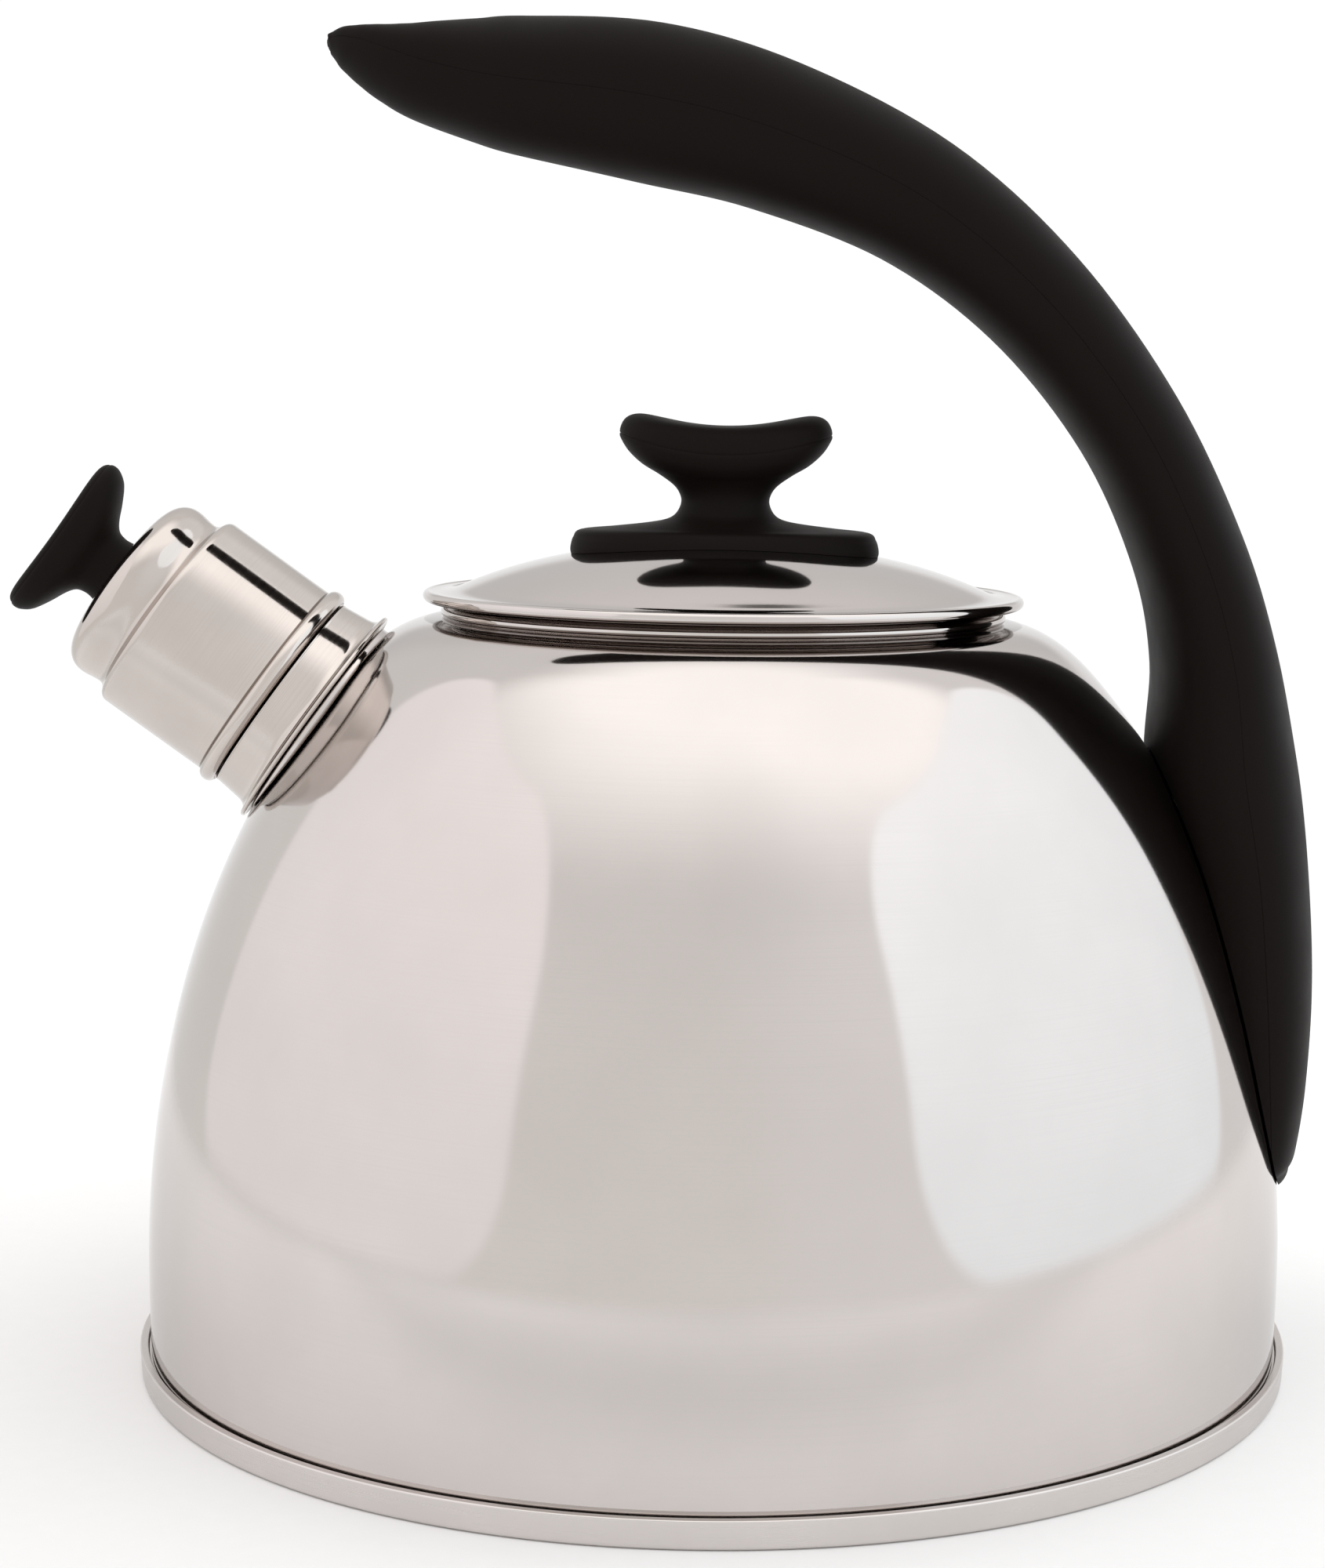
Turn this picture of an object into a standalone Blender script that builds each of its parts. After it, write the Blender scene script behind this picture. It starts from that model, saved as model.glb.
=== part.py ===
"""Stovetop whistling kettle, modelled as the separate pieces it comes apart into.

Lengths in this file are millimetres. They become metres when a mesh is made. +Z is up, the
origin is on the kettle's axis at the underside of the base, +X points to the handle's root
and -X to the spout. The whistle's pieces are made along the spout's own axis and hang from
an empty that lies on that axis. The lid's pieces hang from an empty on the kettle's axis.
"""
import math

import bmesh
import bpy
from mathutils import Vector

METRES_PER_MM = 0.001

# Driving dimensions
BASE_RADIUS = 102.0
BASE_CAP_HEIGHT = 4.8
BODY_MAX_RADIUS = 100.35
WALL = 0.8
THIN_WALL = 0.6
FIT_GAP = 0.3
NECK_RADIUS = 49.4
NECK_TOP = 135.2
LID_RADIUS = 52.7
LID_TOP = 145.4
SPOUT_ELEVATION = 35.6
SPOUT_ROOT = (-72.06, 113.32)
SPOUT_RADIUS = 17.1
SPOUT_WALL = 0.8
SPOUT_LENGTH = 18.0
WHISTLE_RADIUS = 19.05
WHISTLE_LENGTH = 41.7
SCREW_SHANK_RADIUS = 2.0
SCREW_HOLE_RADIUS = SCREW_SHANK_RADIUS + FIT_GAP

# Facets around the round pieces
BODY_SEGMENTS = 36
WHISTLE_SEGMENTS = 24
SMALL_SEGMENTS = 12
HANDLE_SEGMENTS = 16

# Handle: x, z, half depth and half width along its centre line, from the tip to the foot
HANDLE_STATIONS = [
    (-69.0, 229.1, 1.0, 2.2),
    (-68.3, 229.0, 2.0, 3.4),
    (-66.8, 228.5, 3.3, 5.0),
    (-64.8, 227.8, 4.3, 6.4),
    (-62.0, 226.9, 5.5, 7.9),
    (-58.2, 225.9, 6.8, 9.4),
    (-52.8, 224.9, 8.4, 10.8),
    (-44.5, 223.8, 10.2, 12.1),
    (-36.0, 222.9, 11.7, 13.2),
    (-14.0, 220.4, 13.6, 14.4),
    (7.6, 215.2, 13.0, 15.0),
    (32.5, 204.4, 11.5, 15.8),
    (53.4, 188.0, 10.1, 16.8),
    (70.4, 166.7, 9.3, 18.6),
    (81.4, 144.5, 9.5, 21.2),
    (86.6, 125.7, 10.5, 24.6),
    (88.4, 106.9, 12.6, 28.6),
    (90.9, 90.0, 12.2, 31.6),
    (92.6, 70.0, 11.7, 33.2),
    (93.9, 52.0, 9.8, 32.0),
    (95.5, 40.0, 7.1, 26.5),
    (96.8, 36.0, 5.2, 21.0),
    (97.6, 33.4, 3.8, 15.0),
    (98.2, 31.9, 2.2, 9.0),
]
HANDLE_SUPERELLIPSE = 2.35
HANDLE_SCREWS = [
    {"name": "handle_screw_upper", "z": 96.0, "boss_end": 92.0, "seat": 97.0},
    {"name": "handle_screw_lower", "z": 70.0, "boss_end": 98.0, "seat": 101.2},
]
BRACKET_THICKNESS = 1.5
BRACKET_BOTTOM = 62.0
BRACKET_TOP = 103.0
BOSS_RADIUS = 4.2
SCREW_HEAD_RADIUS = 3.8
SCREW_HEAD_HEIGHT = 2.3

# Outline of the body's shoulder and wall: two smooth curves that meet at the shoulder
SHOULDER_START = (49.4, 131.7)
SHOULDER_START_SLOPE = 4.0
SHOULDER_MIDDLE = (70.9, 115.9)
SHOULDER_MIDDLE_SLOPE = 52.5
WALL_STRAIGHT = (BODY_MAX_RADIUS, 20.0)


def bezier(p0, p1, p2, p3, count):
    """Points on a cubic curve, without its first point."""
    points = []
    for step in range(1, count + 1):
        t = step / count
        weights = ((1 - t) ** 3, 3 * t * (1 - t) ** 2, 3 * t * t * (1 - t), t ** 3)
        points.append(tuple(
            sum(w * p[axis] for w, p in zip(weights, (p0, p1, p2, p3))) for axis in (0, 1)))
    return points


def slope_curve(start, start_slope, start_pull, end, end_slope, end_pull, count):
    """A smooth outline that leaves and arrives at given downward slopes in degrees."""
    a, b = math.radians(start_slope), math.radians(end_slope)
    p1 = (start[0] + start_pull * math.cos(a), start[1] - start_pull * math.sin(a))
    p2 = (end[0] - end_pull * math.cos(b), end[1] + end_pull * math.sin(b))
    return bezier(start, p1, p2, end, count)


def arc(centre, radius, start, end, count):
    """Points on an arc, both ends included. Angles in degrees from +r towards +z."""
    points = []
    for step in range(count + 1):
        angle = math.radians(start + (end - start) * step / count)
        points.append((centre[0] + radius * math.cos(angle), centre[1] + radius * math.sin(angle)))
    return points


def offset_open(points, distance):
    """Moves an open outline sideways, to the left of its direction."""
    moved = []
    for index, point in enumerate(points):
        before = points[max(index - 1, 0)]
        after = points[min(index + 1, len(points) - 1)]
        dx, dz = after[0] - before[0], after[1] - before[1]
        length = math.hypot(dx, dz)
        moved.append((point[0] - distance * dz / length, point[1] + distance * dx / length))
    return moved


def clear_scene():
    for obj in list(bpy.data.objects):
        bpy.data.objects.remove(obj, do_unlink=True)


def make_material(name, colour, metallic, roughness):
    material = bpy.data.materials.new(name)
    material.use_nodes = True
    shader = material.node_tree.nodes["Principled BSDF"]
    shader.inputs["Base Color"].default_value = (*colour, 1.0)
    shader.inputs["Metallic"].default_value = metallic
    shader.inputs["Roughness"].default_value = roughness
    material.diffuse_color = (*colour, 1.0)
    return material


def mesh_object(name, vertices, faces, material=None, parent=None):
    """One object from millimetre vertices, faces turned outwards, shaded smooth."""
    mesh = bpy.data.meshes.new(name)
    mesh.from_pydata([Vector(v) * METRES_PER_MM for v in vertices], [], faces)
    build = bmesh.new()
    build.from_mesh(mesh)
    bmesh.ops.recalc_face_normals(build, faces=build.faces)
    build.to_mesh(mesh)
    build.free()
    mesh.shade_smooth()
    mesh.set_sharp_from_angle(angle=math.radians(35))
    if material:
        mesh.materials.append(material)
    obj = bpy.data.objects.new(name, mesh)
    bpy.context.collection.objects.link(obj)
    obj.parent = parent
    return obj


def revolve(name, outline, segments, material=None, parent=None, phase=0.0):
    """Turns a closed (radius, height) outline about Z. Points at radius 0 become poles."""
    vertices, rings = [], []
    for radius, height in outline:
        if radius < 1e-6:
            rings.append([len(vertices)])
            vertices.append((0.0, 0.0, height))
            continue
        ring = []
        for step in range(segments):
            angle = 2 * math.pi * (step + phase) / segments
            ring.append(len(vertices))
            vertices.append((radius * math.cos(angle), radius * math.sin(angle), height))
        rings.append(ring)
    faces = []
    for first, second in zip(rings, rings[1:] + rings[:1]):
        if len(first) == 1 and len(second) == 1:
            continue
        for step in range(segments):
            after = (step + 1) % segments
            corners = [first[step % len(first)], first[after % len(first)],
                       second[after % len(second)], second[step % len(second)]]
            faces.append(list(dict.fromkeys(corners)))
    return mesh_object(name, vertices, faces, material, parent)


def sector(name, outline, angles, material=None):
    """Sweeps a closed (radius, height) outline through the given angles and closes its ends."""
    count = len(outline)
    vertices = []
    for angle in angles:
        cosine, sine = math.cos(math.radians(angle)), math.sin(math.radians(angle))
        vertices.extend((r * cosine, r * sine, z) for r, z in outline)
    faces = [list(range(count)), list(range((len(angles) - 1) * count, len(angles) * count))]
    for index in range(len(angles) - 1):
        for point in range(count):
            after = (point + 1) % count
            low, high = index * count, (index + 1) * count
            faces.append([low + point, low + after, high + after, high + point])
    return mesh_object(name, vertices, faces, material)


def loft(name, rings, material=None, parent=None):
    """Joins equal rings of vertices and closes both ends."""
    count = len(rings[0])
    vertices = [vertex for ring in rings for vertex in ring]
    faces = [list(range(count)), list(range((len(rings) - 1) * count, len(rings) * count))]
    for index in range(len(rings) - 1):
        for point in range(count):
            after = (point + 1) % count
            low, high = index * count, (index + 1) * count
            faces.append([low + point, low + after, high + after, high + point])
    return mesh_object(name, vertices, faces, material, parent)


def superellipse(half_x, half_y, power, segments):
    points = []
    for step in range(segments):
        angle = 2 * math.pi * step / segments
        cosine, sine = math.cos(angle), math.sin(angle)
        points.append((
            math.copysign(half_x * abs(cosine) ** (2 / power), cosine),
            math.copysign(half_y * abs(sine) ** (2 / power), sine)))
    return points


def cylinder(name, radius, start, end, segments=SMALL_SEGMENTS, parent=None):
    outline = [(0.0, start), (radius, start), (radius, end), (0.0, end)]
    return revolve(name, outline, segments, None, parent, 0.5)


def turn_towards_x(obj, z):
    """Stands a piece made along its own Z on the plane y = 0 so that it points along +X."""
    obj.rotation_euler = (0.0, math.pi / 2, 0.0)
    obj.location = (0.0, 0.0, z * METRES_PER_MM)


def boolean(target, tool, operation):
    """Adds a Boolean modifier and hides its tool from the render and the build."""
    tool.hide_render = True
    tool.display_type = "WIRE"
    modifier = target.modifiers.new(operation.lower() + "_" + tool.name, "BOOLEAN")
    modifier.operation = operation
    modifier.solver = "EXACT"
    modifier.object = tool


def body_outline():
    """The body's outer outline from the neck's foot down to its bottom edge."""
    crown = slope_curve(SHOULDER_START, SHOULDER_START_SLOPE, 9.4,
                        SHOULDER_MIDDLE, SHOULDER_MIDDLE_SLOPE, 9.6, 4)
    side = slope_curve(SHOULDER_MIDDLE, SHOULDER_MIDDLE_SLOPE, 31.0, WALL_STRAIGHT, 90.0, 36.0, 6)
    bottom = [(99.8, 5.0), (99.4, 1.4)]
    return [SHOULDER_START] + crown + side + bottom


def make_body_shell(steel, spout_axis):
    outer = body_outline()
    inner = offset_open(outer, -WALL)
    inner[0] = (NECK_RADIUS - 1.5, SHOULDER_START[1] - WALL)
    inner[-1] = (outer[-1][0] - WALL, outer[-1][1])
    neck_outer = [(NECK_RADIUS - 1.1, NECK_TOP), (NECK_RADIUS - 0.7, NECK_TOP - 0.4),
                  (NECK_RADIUS - 0.7, NECK_TOP - 1.5), (NECK_RADIUS - 0.1, NECK_TOP - 1.9),
                  (NECK_RADIUS + 0.1, NECK_TOP - 2.6), (NECK_RADIUS - 0.2, NECK_TOP - 3.3)]
    neck_inner = [(NECK_RADIUS - 1.5, NECK_TOP - 0.4)]
    outline = neck_outer + outer + inner[::-1] + neck_inner
    shell = revolve("body_shell", outline, BODY_SEGMENTS, steel)
    hole = cylinder("spout_hole_tool", SPOUT_RADIUS + FIT_GAP, -14.0, 12.0, WHISTLE_SEGMENTS, spout_axis)
    boolean(shell, hole, "DIFFERENCE")


def make_floor_pan(steel):
    radius, top, thick, flange_end = 98.2, 5.2, 0.8, 1.6
    outline = [(0.0, top - thick), (radius - 1.8, top - thick), (radius - thick, top - 1.8),
               (radius - thick, flange_end), (radius, flange_end), (radius, top - 1.6),
               (radius - 0.5, top - 0.5), (radius - 1.6, top), (0.0, top)]
    revolve("floor_pan", outline, BODY_SEGMENTS, steel)


def make_heat_spreader(aluminium):
    outline = [(0.0, 1.1), (95.9, 1.1), (96.4, 1.6), (96.4, 2.8), (95.2, 4.1), (0.0, 4.1)]
    revolve("heat_spreader_disc", outline, BODY_SEGMENTS, aluminium)


def make_base_cap(satin):
    inner_radius = BASE_RADIUS - 0.7
    outline = [(0.0, 0.0), (BASE_RADIUS - 1.2, 0.0), (BASE_RADIUS - 0.35, 0.35),
               (BASE_RADIUS, 1.2), (BASE_RADIUS, BASE_CAP_HEIGHT - 0.15),
               (BASE_RADIUS - 0.15, BASE_CAP_HEIGHT), (inner_radius, BASE_CAP_HEIGHT),
               (inner_radius, 1.5), (inner_radius - 0.7, 0.8), (0.0, 0.8)]
    revolve("base_cap", outline, BODY_SEGMENTS, satin)


def make_spout_tube(steel, spout_axis):
    inner = SPOUT_RADIUS - SPOUT_WALL
    outline = [(SPOUT_RADIUS, -5.0), (SPOUT_RADIUS, SPOUT_LENGTH - 0.5),
               (SPOUT_RADIUS - 0.5, SPOUT_LENGTH), (inner + 0.1, SPOUT_LENGTH),
               (inner - 0.2, SPOUT_LENGTH - 0.6), (inner, SPOUT_LENGTH - 1.6), (inner, -5.0)]
    revolve("spout_tube", outline, WHISTLE_SEGMENTS, steel, spout_axis)


def handle_stations(per_span):
    """Centre line points with half depth and half width, on a smooth curve through the stations."""
    stations = HANDLE_STATIONS
    result = []
    for index in range(len(stations) - 1):
        before = stations[max(index - 1, 0)]
        start, end = stations[index], stations[index + 1]
        after = stations[min(index + 2, len(stations) - 1)]
        for step in range(per_span):
            t = step / per_span
            result.append(tuple(
                0.5 * (2 * b + (c - a) * t + (2 * a - 5 * b + 4 * c - d) * t * t
                       + (3 * b - a - 3 * c + d) * t ** 3)
                for a, b, c, d in zip(before, start, end, after)))
    result.append(stations[-1])
    return result


def handle_rings():
    stations = handle_stations(2)
    rings = []
    for index, (x, z, half_depth, half_width) in enumerate(stations):
        before, after = stations[max(index - 1, 0)], stations[min(index + 1, len(stations) - 1)]
        tangent = Vector((after[0] - before[0], 0.0, after[1] - before[1])).normalized()
        outward = Vector((-tangent.z, 0.0, tangent.x))
        section = superellipse(half_depth, half_width, HANDLE_SUPERELLIPSE, HANDLE_SEGMENTS)
        rings.append([Vector((x, 0.0, z)) + outward * depth + Vector((0.0, across, 0.0))
                      for depth, across in section])
    return rings


def body_band(clear_from, clear_to, low, high):
    """A strip that follows the body's wall, between two distances from it and two heights."""
    wall = [point for point in body_outline() if low < point[1] < high]
    full = body_outline()
    upper = crossing(full, high)
    lower = crossing(full, low)
    line = [upper] + wall + [lower]
    return offset_open(line, clear_to) + offset_open(line, clear_from)[::-1]


def crossing(outline, height):
    """The point where an outline that runs downwards passes a height."""
    for first, second in zip(outline, outline[1:]):
        if first[1] >= height >= second[1]:
            share = (first[1] - height) / (first[1] - second[1])
            return (first[0] + share * (second[0] - first[0]), height)
    raise ValueError("height is outside the outline")


def make_body_clearance():
    """A solid a fit gap larger than the body, for cutting what lies against the wall."""
    body = offset_open(body_outline(), FIT_GAP)
    return revolve("body_clearance_tool", [(0.0, body[0][1])] + body + [(0.0, body[-1][1])], BODY_SEGMENTS)


def make_handle_bracket(steel, body_tool):
    half_angle = 360.0 / BODY_SEGMENTS
    strip = body_band(-1.0, FIT_GAP + BRACKET_THICKNESS, BRACKET_BOTTOM, BRACKET_TOP)
    bracket = sector("handle_bracket", strip, (-half_angle, 0.0, half_angle), steel)
    for screw in HANDLE_SCREWS:
        wall_x = crossing(body_outline(), screw["z"])[0]
        boss = cylinder(screw["name"] + "_boss_tool", BOSS_RADIUS, wall_x - 4.0, screw["boss_end"])
        turn_towards_x(boss, screw["z"])
        boolean(bracket, boss, "UNION")
    boolean(bracket, body_tool, "DIFFERENCE")
    for screw in HANDLE_SCREWS:
        wall_x = crossing(body_outline(), screw["z"])[0]
        thread = cylinder(screw["name"] + "_thread_tool", SCREW_HOLE_RADIUS, wall_x - 8.0,
                          screw["boss_end"] + 2.0)
        turn_towards_x(thread, screw["z"])
        boolean(bracket, thread, "DIFFERENCE")


def make_handle_grip(plastic, body_tool):
    grip = loft("handle_grip", handle_rings(), plastic)
    boolean(grip, body_tool, "DIFFERENCE")
    half_angle = 360.0 / BODY_SEGMENTS + 0.3
    pocket = body_band(-2.0, 2 * FIT_GAP + BRACKET_THICKNESS + 0.1, BRACKET_BOTTOM - 0.5, BRACKET_TOP + 0.5)
    pocket_tool = sector("bracket_pocket_tool", pocket, (-half_angle, 0.0, half_angle))
    boolean(grip, pocket_tool, "DIFFERENCE")
    for screw in HANDLE_SCREWS:
        wall_x = crossing(body_outline(), screw["z"])[0]
        steps = [("boss_room", BOSS_RADIUS + 0.4, wall_x - 2.0, screw["boss_end"] + 0.4),
                 ("shank_room", SCREW_HOLE_RADIUS, screw["boss_end"] - 1.0, screw["seat"] + 1.0),
                 ("head_room", SCREW_HEAD_RADIUS + 0.5, screw["seat"], BASE_RADIUS + 12.0)]
        for label, radius, start, end in steps:
            tool = cylinder(screw["name"] + "_" + label + "_tool", radius, start, end)
            turn_towards_x(tool, screw["z"])
            boolean(grip, tool, "DIFFERENCE")


def screw_outline(shank_end, seat, head_radius, head_height):
    """A pan-head screw along Z, its head at the high end with a driver recess."""
    top = seat + head_height
    return [(0.0, shank_end), (SCREW_SHANK_RADIUS - 0.5, shank_end),
            (SCREW_SHANK_RADIUS, shank_end + 0.6), (SCREW_SHANK_RADIUS, seat), (head_radius, seat),
            (head_radius, top - 0.7), (head_radius - 0.9, top), (1.4, top), (1.1, top - 1.2),
            (0.0, top - 1.2)]


def make_handle_screws(steel):
    for screw in HANDLE_SCREWS:
        wall_x = crossing(body_outline(), screw["z"])[0]
        outline = screw_outline(wall_x + 1.0, screw["seat"] + FIT_GAP, SCREW_HEAD_RADIUS, SCREW_HEAD_HEIGHT)
        piece = revolve(screw["name"], outline, SMALL_SEGMENTS, steel)
        turn_towards_x(piece, screw["z"])


def lid_dome(count):
    """The lid's outer outline from its centre hole to the foot of the dome."""
    return slope_curve((0.0, LID_TOP), 3.0, 19.0, (46.3, 136.8), 24.0, 15.0, count)


def make_lid_shell(steel, lid_axis):
    hole = SCREW_HOLE_RADIUS + 0.2
    dome = [(hole, LID_TOP - 0.1)] + lid_dome(5)
    land = [(48.2, 136.35), (50.6, 136.25)]
    rim = arc((LID_RADIUS - 0.95, 135.35), 0.95, 80.0, -150.0, 4)
    under = [(50.4, 135.55), (48.0, 135.65)]
    inner = offset_open(dome, -0.7)[::-1]
    inner[-1] = (hole, inner[-1][1])
    revolve("lid_shell", dome + land + rim + under + inner, BODY_SEGMENTS, steel, lid_axis)


def make_lid_skirt(steel, lid_axis):
    outer, bottom, top = 46.8, 124.5, 135.3
    outline = [(outer - THIN_WALL, top), (outer - 0.15, top), (outer, top - 0.3),
               (outer, bottom + 0.8), (outer - 0.6, bottom), (outer - 0.9, bottom + 0.5),
               (outer - THIN_WALL, bottom + 1.3)]
    revolve("lid_skirt", outline, BODY_SEGMENTS, steel, lid_axis)


# Lid knob from foot to head: half length, half width, height on the axis, rise at the ends
LID_KNOB_SECTIONS = [
    (26.8, 14.8, 141.0, 0.0),
    (27.1, 15.0, 143.6, 0.0),
    (26.9, 14.8, 145.2, 0.0),
    (25.4, 13.6, 146.9, 0.0),
    (14.0, 10.0, 148.2, 0.0),
    (9.4, 8.2, 149.6, 0.0),
    (7.8, 7.2, 151.6, 0.0),
    (8.4, 7.5, 153.8, 0.2),
    (11.0, 8.4, 155.4, 0.8),
    (14.8, 9.8, 156.6, 1.8),
    (17.4, 10.8, 158.0, 2.9),
    (18.5, 11.2, 159.8, 3.5),
    (18.5, 11.1, 162.0, 3.2),
    (17.6, 10.4, 164.2, 2.5),
    (15.2, 8.6, 165.2, 2.0),
]
LID_KNOB_SEGMENTS = 16


def make_lid_knob(plastic, lid_axis):
    rings = []
    for half_x, half_y, height, rise in LID_KNOB_SECTIONS:
        rings.append([(x, y, height + rise * (x / half_x) ** 2)
                      for x, y in superellipse(half_x, half_y, 2.2, LID_KNOB_SEGMENTS)])
    rings.append([(x, y, 165.3 + 0.55 * (x / 8.0) ** 2)
                  for x, y in superellipse(8.0, 4.0, 2.2, LID_KNOB_SEGMENTS)])
    knob = loft("lid_knob", rings, plastic, lid_axis)
    dome = offset_open([(0.0, LID_TOP)] + lid_dome(5), FIT_GAP)
    dome_tool = revolve("dome_clearance_tool", [(0.0, 130.0)] + dome + [(dome[-1][0], 130.0)],
                        BODY_SEGMENTS, None, lid_axis)
    boolean(knob, dome_tool, "DIFFERENCE")
    bore = cylinder("lid_knob_bore_tool", 3.6, 140.0, 158.0, SMALL_SEGMENTS, lid_axis)
    boolean(knob, bore, "DIFFERENCE")


def insert_outline(start, end):
    """A threaded insert along Z, with a groove around its middle."""
    middle = (start + end) / 2
    return [(SCREW_HOLE_RADIUS, start), (3.3, start), (3.3, middle - 0.8), (2.9, middle - 0.5),
            (2.9, middle + 0.5), (3.3, middle + 0.8), (3.3, end), (SCREW_HOLE_RADIUS, end)]


def washer_outline(start, thickness, radius):
    hole = SCREW_HOLE_RADIUS + 0.1
    return [(hole, start), (radius, start), (radius, start + thickness), (hole, start + thickness)]


def make_lid_knob_fixings(steel, brass, lid_axis):
    revolve("lid_knob_insert", insert_outline(146.4, 157.4), SMALL_SEGMENTS, brass, lid_axis)
    revolve("lid_knob_washer", washer_outline(143.5, 0.8, 5.5), SMALL_SEGMENTS, steel, lid_axis)
    outline = [(r, -z) for r, z in screw_outline(-155.5, -143.2, SCREW_HEAD_RADIUS, SCREW_HEAD_HEIGHT)]
    revolve("lid_knob_screw", outline, SMALL_SEGMENTS, steel, lid_axis)


def cap_shell_outer():
    """The whistle cap's outer outline, along the spout's axis, from the bead to the end face."""
    bead = arc((18.35, 9.1), 1.95, -62.0, 62.0, 4)
    cylinder_wall = [(WHISTLE_RADIUS, 11.3), (WHISTLE_RADIUS, 30.6)]
    shoulder = arc((WHISTLE_RADIUS - 1.3, 30.8), 1.3, 0.0, 75.0, 2)
    step = [(17.1, 32.6), (16.87, 33.5)]
    bulge = bezier((16.87, 33.5), (16.9, 35.0), (17.2, 35.6), (17.2, 37.0), 2)
    dome = bezier((17.2, 37.0), (17.2, 40.2), (14.2, 41.7), (10.4, WHISTLE_LENGTH), 4)
    return bead + cylinder_wall + shoulder + step + bulge + dome


def make_whistle_cap(steel, spout_axis):
    outer = cap_shell_outer()
    inner = offset_open(outer, THIN_WALL)
    hole = SCREW_HOLE_RADIUS + 0.2
    outer_end = [(hole, WHISTLE_LENGTH)]
    inner_end = [(hole, WHISTLE_LENGTH - THIN_WALL)]
    inner[0] = (outer[0][0] - 0.15, outer[0][1] + 0.35)
    outline = outer + outer_end + inner_end + inner[::-1]
    cap = revolve("whistle_cap_shell", outline, WHISTLE_SEGMENTS, steel, spout_axis)
    for index in range(4):
        angle = math.pi / 4 + index * math.pi / 2
        vent = cylinder("vent_tool_%d" % index, 1.3, WHISTLE_LENGTH - 3.0, WHISTLE_LENGTH + 3.0, 10,
                        spout_axis)
        vent.location = Vector((8.4 * math.cos(angle), 8.4 * math.sin(angle), 0.0)) * METRES_PER_MM
        boolean(cap, vent, "DIFFERENCE")


def make_whistle_sleeve(steel, spout_axis):
    outline = [(21.65, -0.15), (21.7, 0.5), (20.0, 1.35), (19.35, 2.2), (19.15, 3.4),
               (19.15, 6.4), (17.75, 7.6), (17.75, 17.3), (17.45, 17.6), (17.45, 7.0),
               (18.5, 6.0), (18.5, 3.0), (18.7, 2.0), (19.5, 1.0)]
    revolve("whistle_sleeve", outline, WHISTLE_SEGMENTS, steel, spout_axis)


def make_whistle_works(steel, brass, spout_axis):
    ring = arc((17.85, 4.3), 0.42, 0.0, 300.0, 5)
    revolve("whistle_retaining_ring", ring, WHISTLE_SEGMENTS, steel, spout_axis)
    disc_radius, hole_radius = 15.9, 1.8
    for name, start in (("whistle_inner_disc", 33.9), ("whistle_outer_disc", 37.0)):
        outline = [(hole_radius, start), (disc_radius, start), (disc_radius, start + 0.7),
                   (hole_radius, start + 0.7)]
        revolve(name, outline, WHISTLE_SEGMENTS, brass, spout_axis)
    spacer = [(14.6, 34.9), (15.9, 34.9), (15.9, 36.7), (14.6, 36.7)]
    revolve("whistle_disc_spacer", spacer, WHISTLE_SEGMENTS, brass, spout_axis)


# Whistle knob from stem to face: half length, half width, distance on the axis, rise at the ends
WHISTLE_KNOB_SECTIONS = [
    (6.2, 6.2, 42.1, 0.0),
    (5.8, 5.8, 44.4, 0.0),
    (6.4, 6.1, 46.3, 0.0),
    (8.4, 6.8, 47.4, 0.2),
    (11.4, 7.4, 48.4, 0.7),
    (13.8, 7.9, 49.4, 1.0),
    (14.9, 8.2, 50.7, 1.2),
    (15.15, 8.2, 52.2, 1.0),
    (14.6, 7.6, 53.6, 0.9),
    (12.4, 5.8, 54.3, 0.8),
]
WHISTLE_KNOB_SEGMENTS = 16


def make_whistle_knob(plastic, spout_axis):
    rings = []
    for half_x, half_y, height, rise in WHISTLE_KNOB_SECTIONS:
        rings.append([(x, y, height + rise * (x / half_x) ** 2)
                      for x, y in superellipse(half_x, half_y, 2.2, WHISTLE_KNOB_SEGMENTS)])
    rings.append([(x, y, 54.35 + 0.3 * (x / 6.5) ** 2)
                  for x, y in superellipse(6.5, 2.8, 2.2, WHISTLE_KNOB_SEGMENTS)])
    knob = loft("whistle_knob", rings, plastic, spout_axis)
    bore = cylinder("whistle_knob_bore_tool", 3.6, 39.0, 51.0, SMALL_SEGMENTS, spout_axis)
    boolean(knob, bore, "DIFFERENCE")


def make_whistle_knob_fixings(steel, brass, spout_axis):
    revolve("whistle_knob_insert", insert_outline(42.4, 50.4), SMALL_SEGMENTS, brass, spout_axis)
    revolve("whistle_knob_washer", washer_outline(40.2, 0.6, 5.2), SMALL_SEGMENTS, steel, spout_axis)
    outline = [(r, -z) for r, z in screw_outline(-49.0, -39.9, 3.4, 1.6)]
    revolve("whistle_knob_screw", outline, SMALL_SEGMENTS, steel, spout_axis)


def make_axis(name, location, rotation):
    axis = bpy.data.objects.new(name, None)
    bpy.context.collection.objects.link(axis)
    axis.location = Vector(location) * METRES_PER_MM
    axis.rotation_euler = rotation
    return axis


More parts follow.
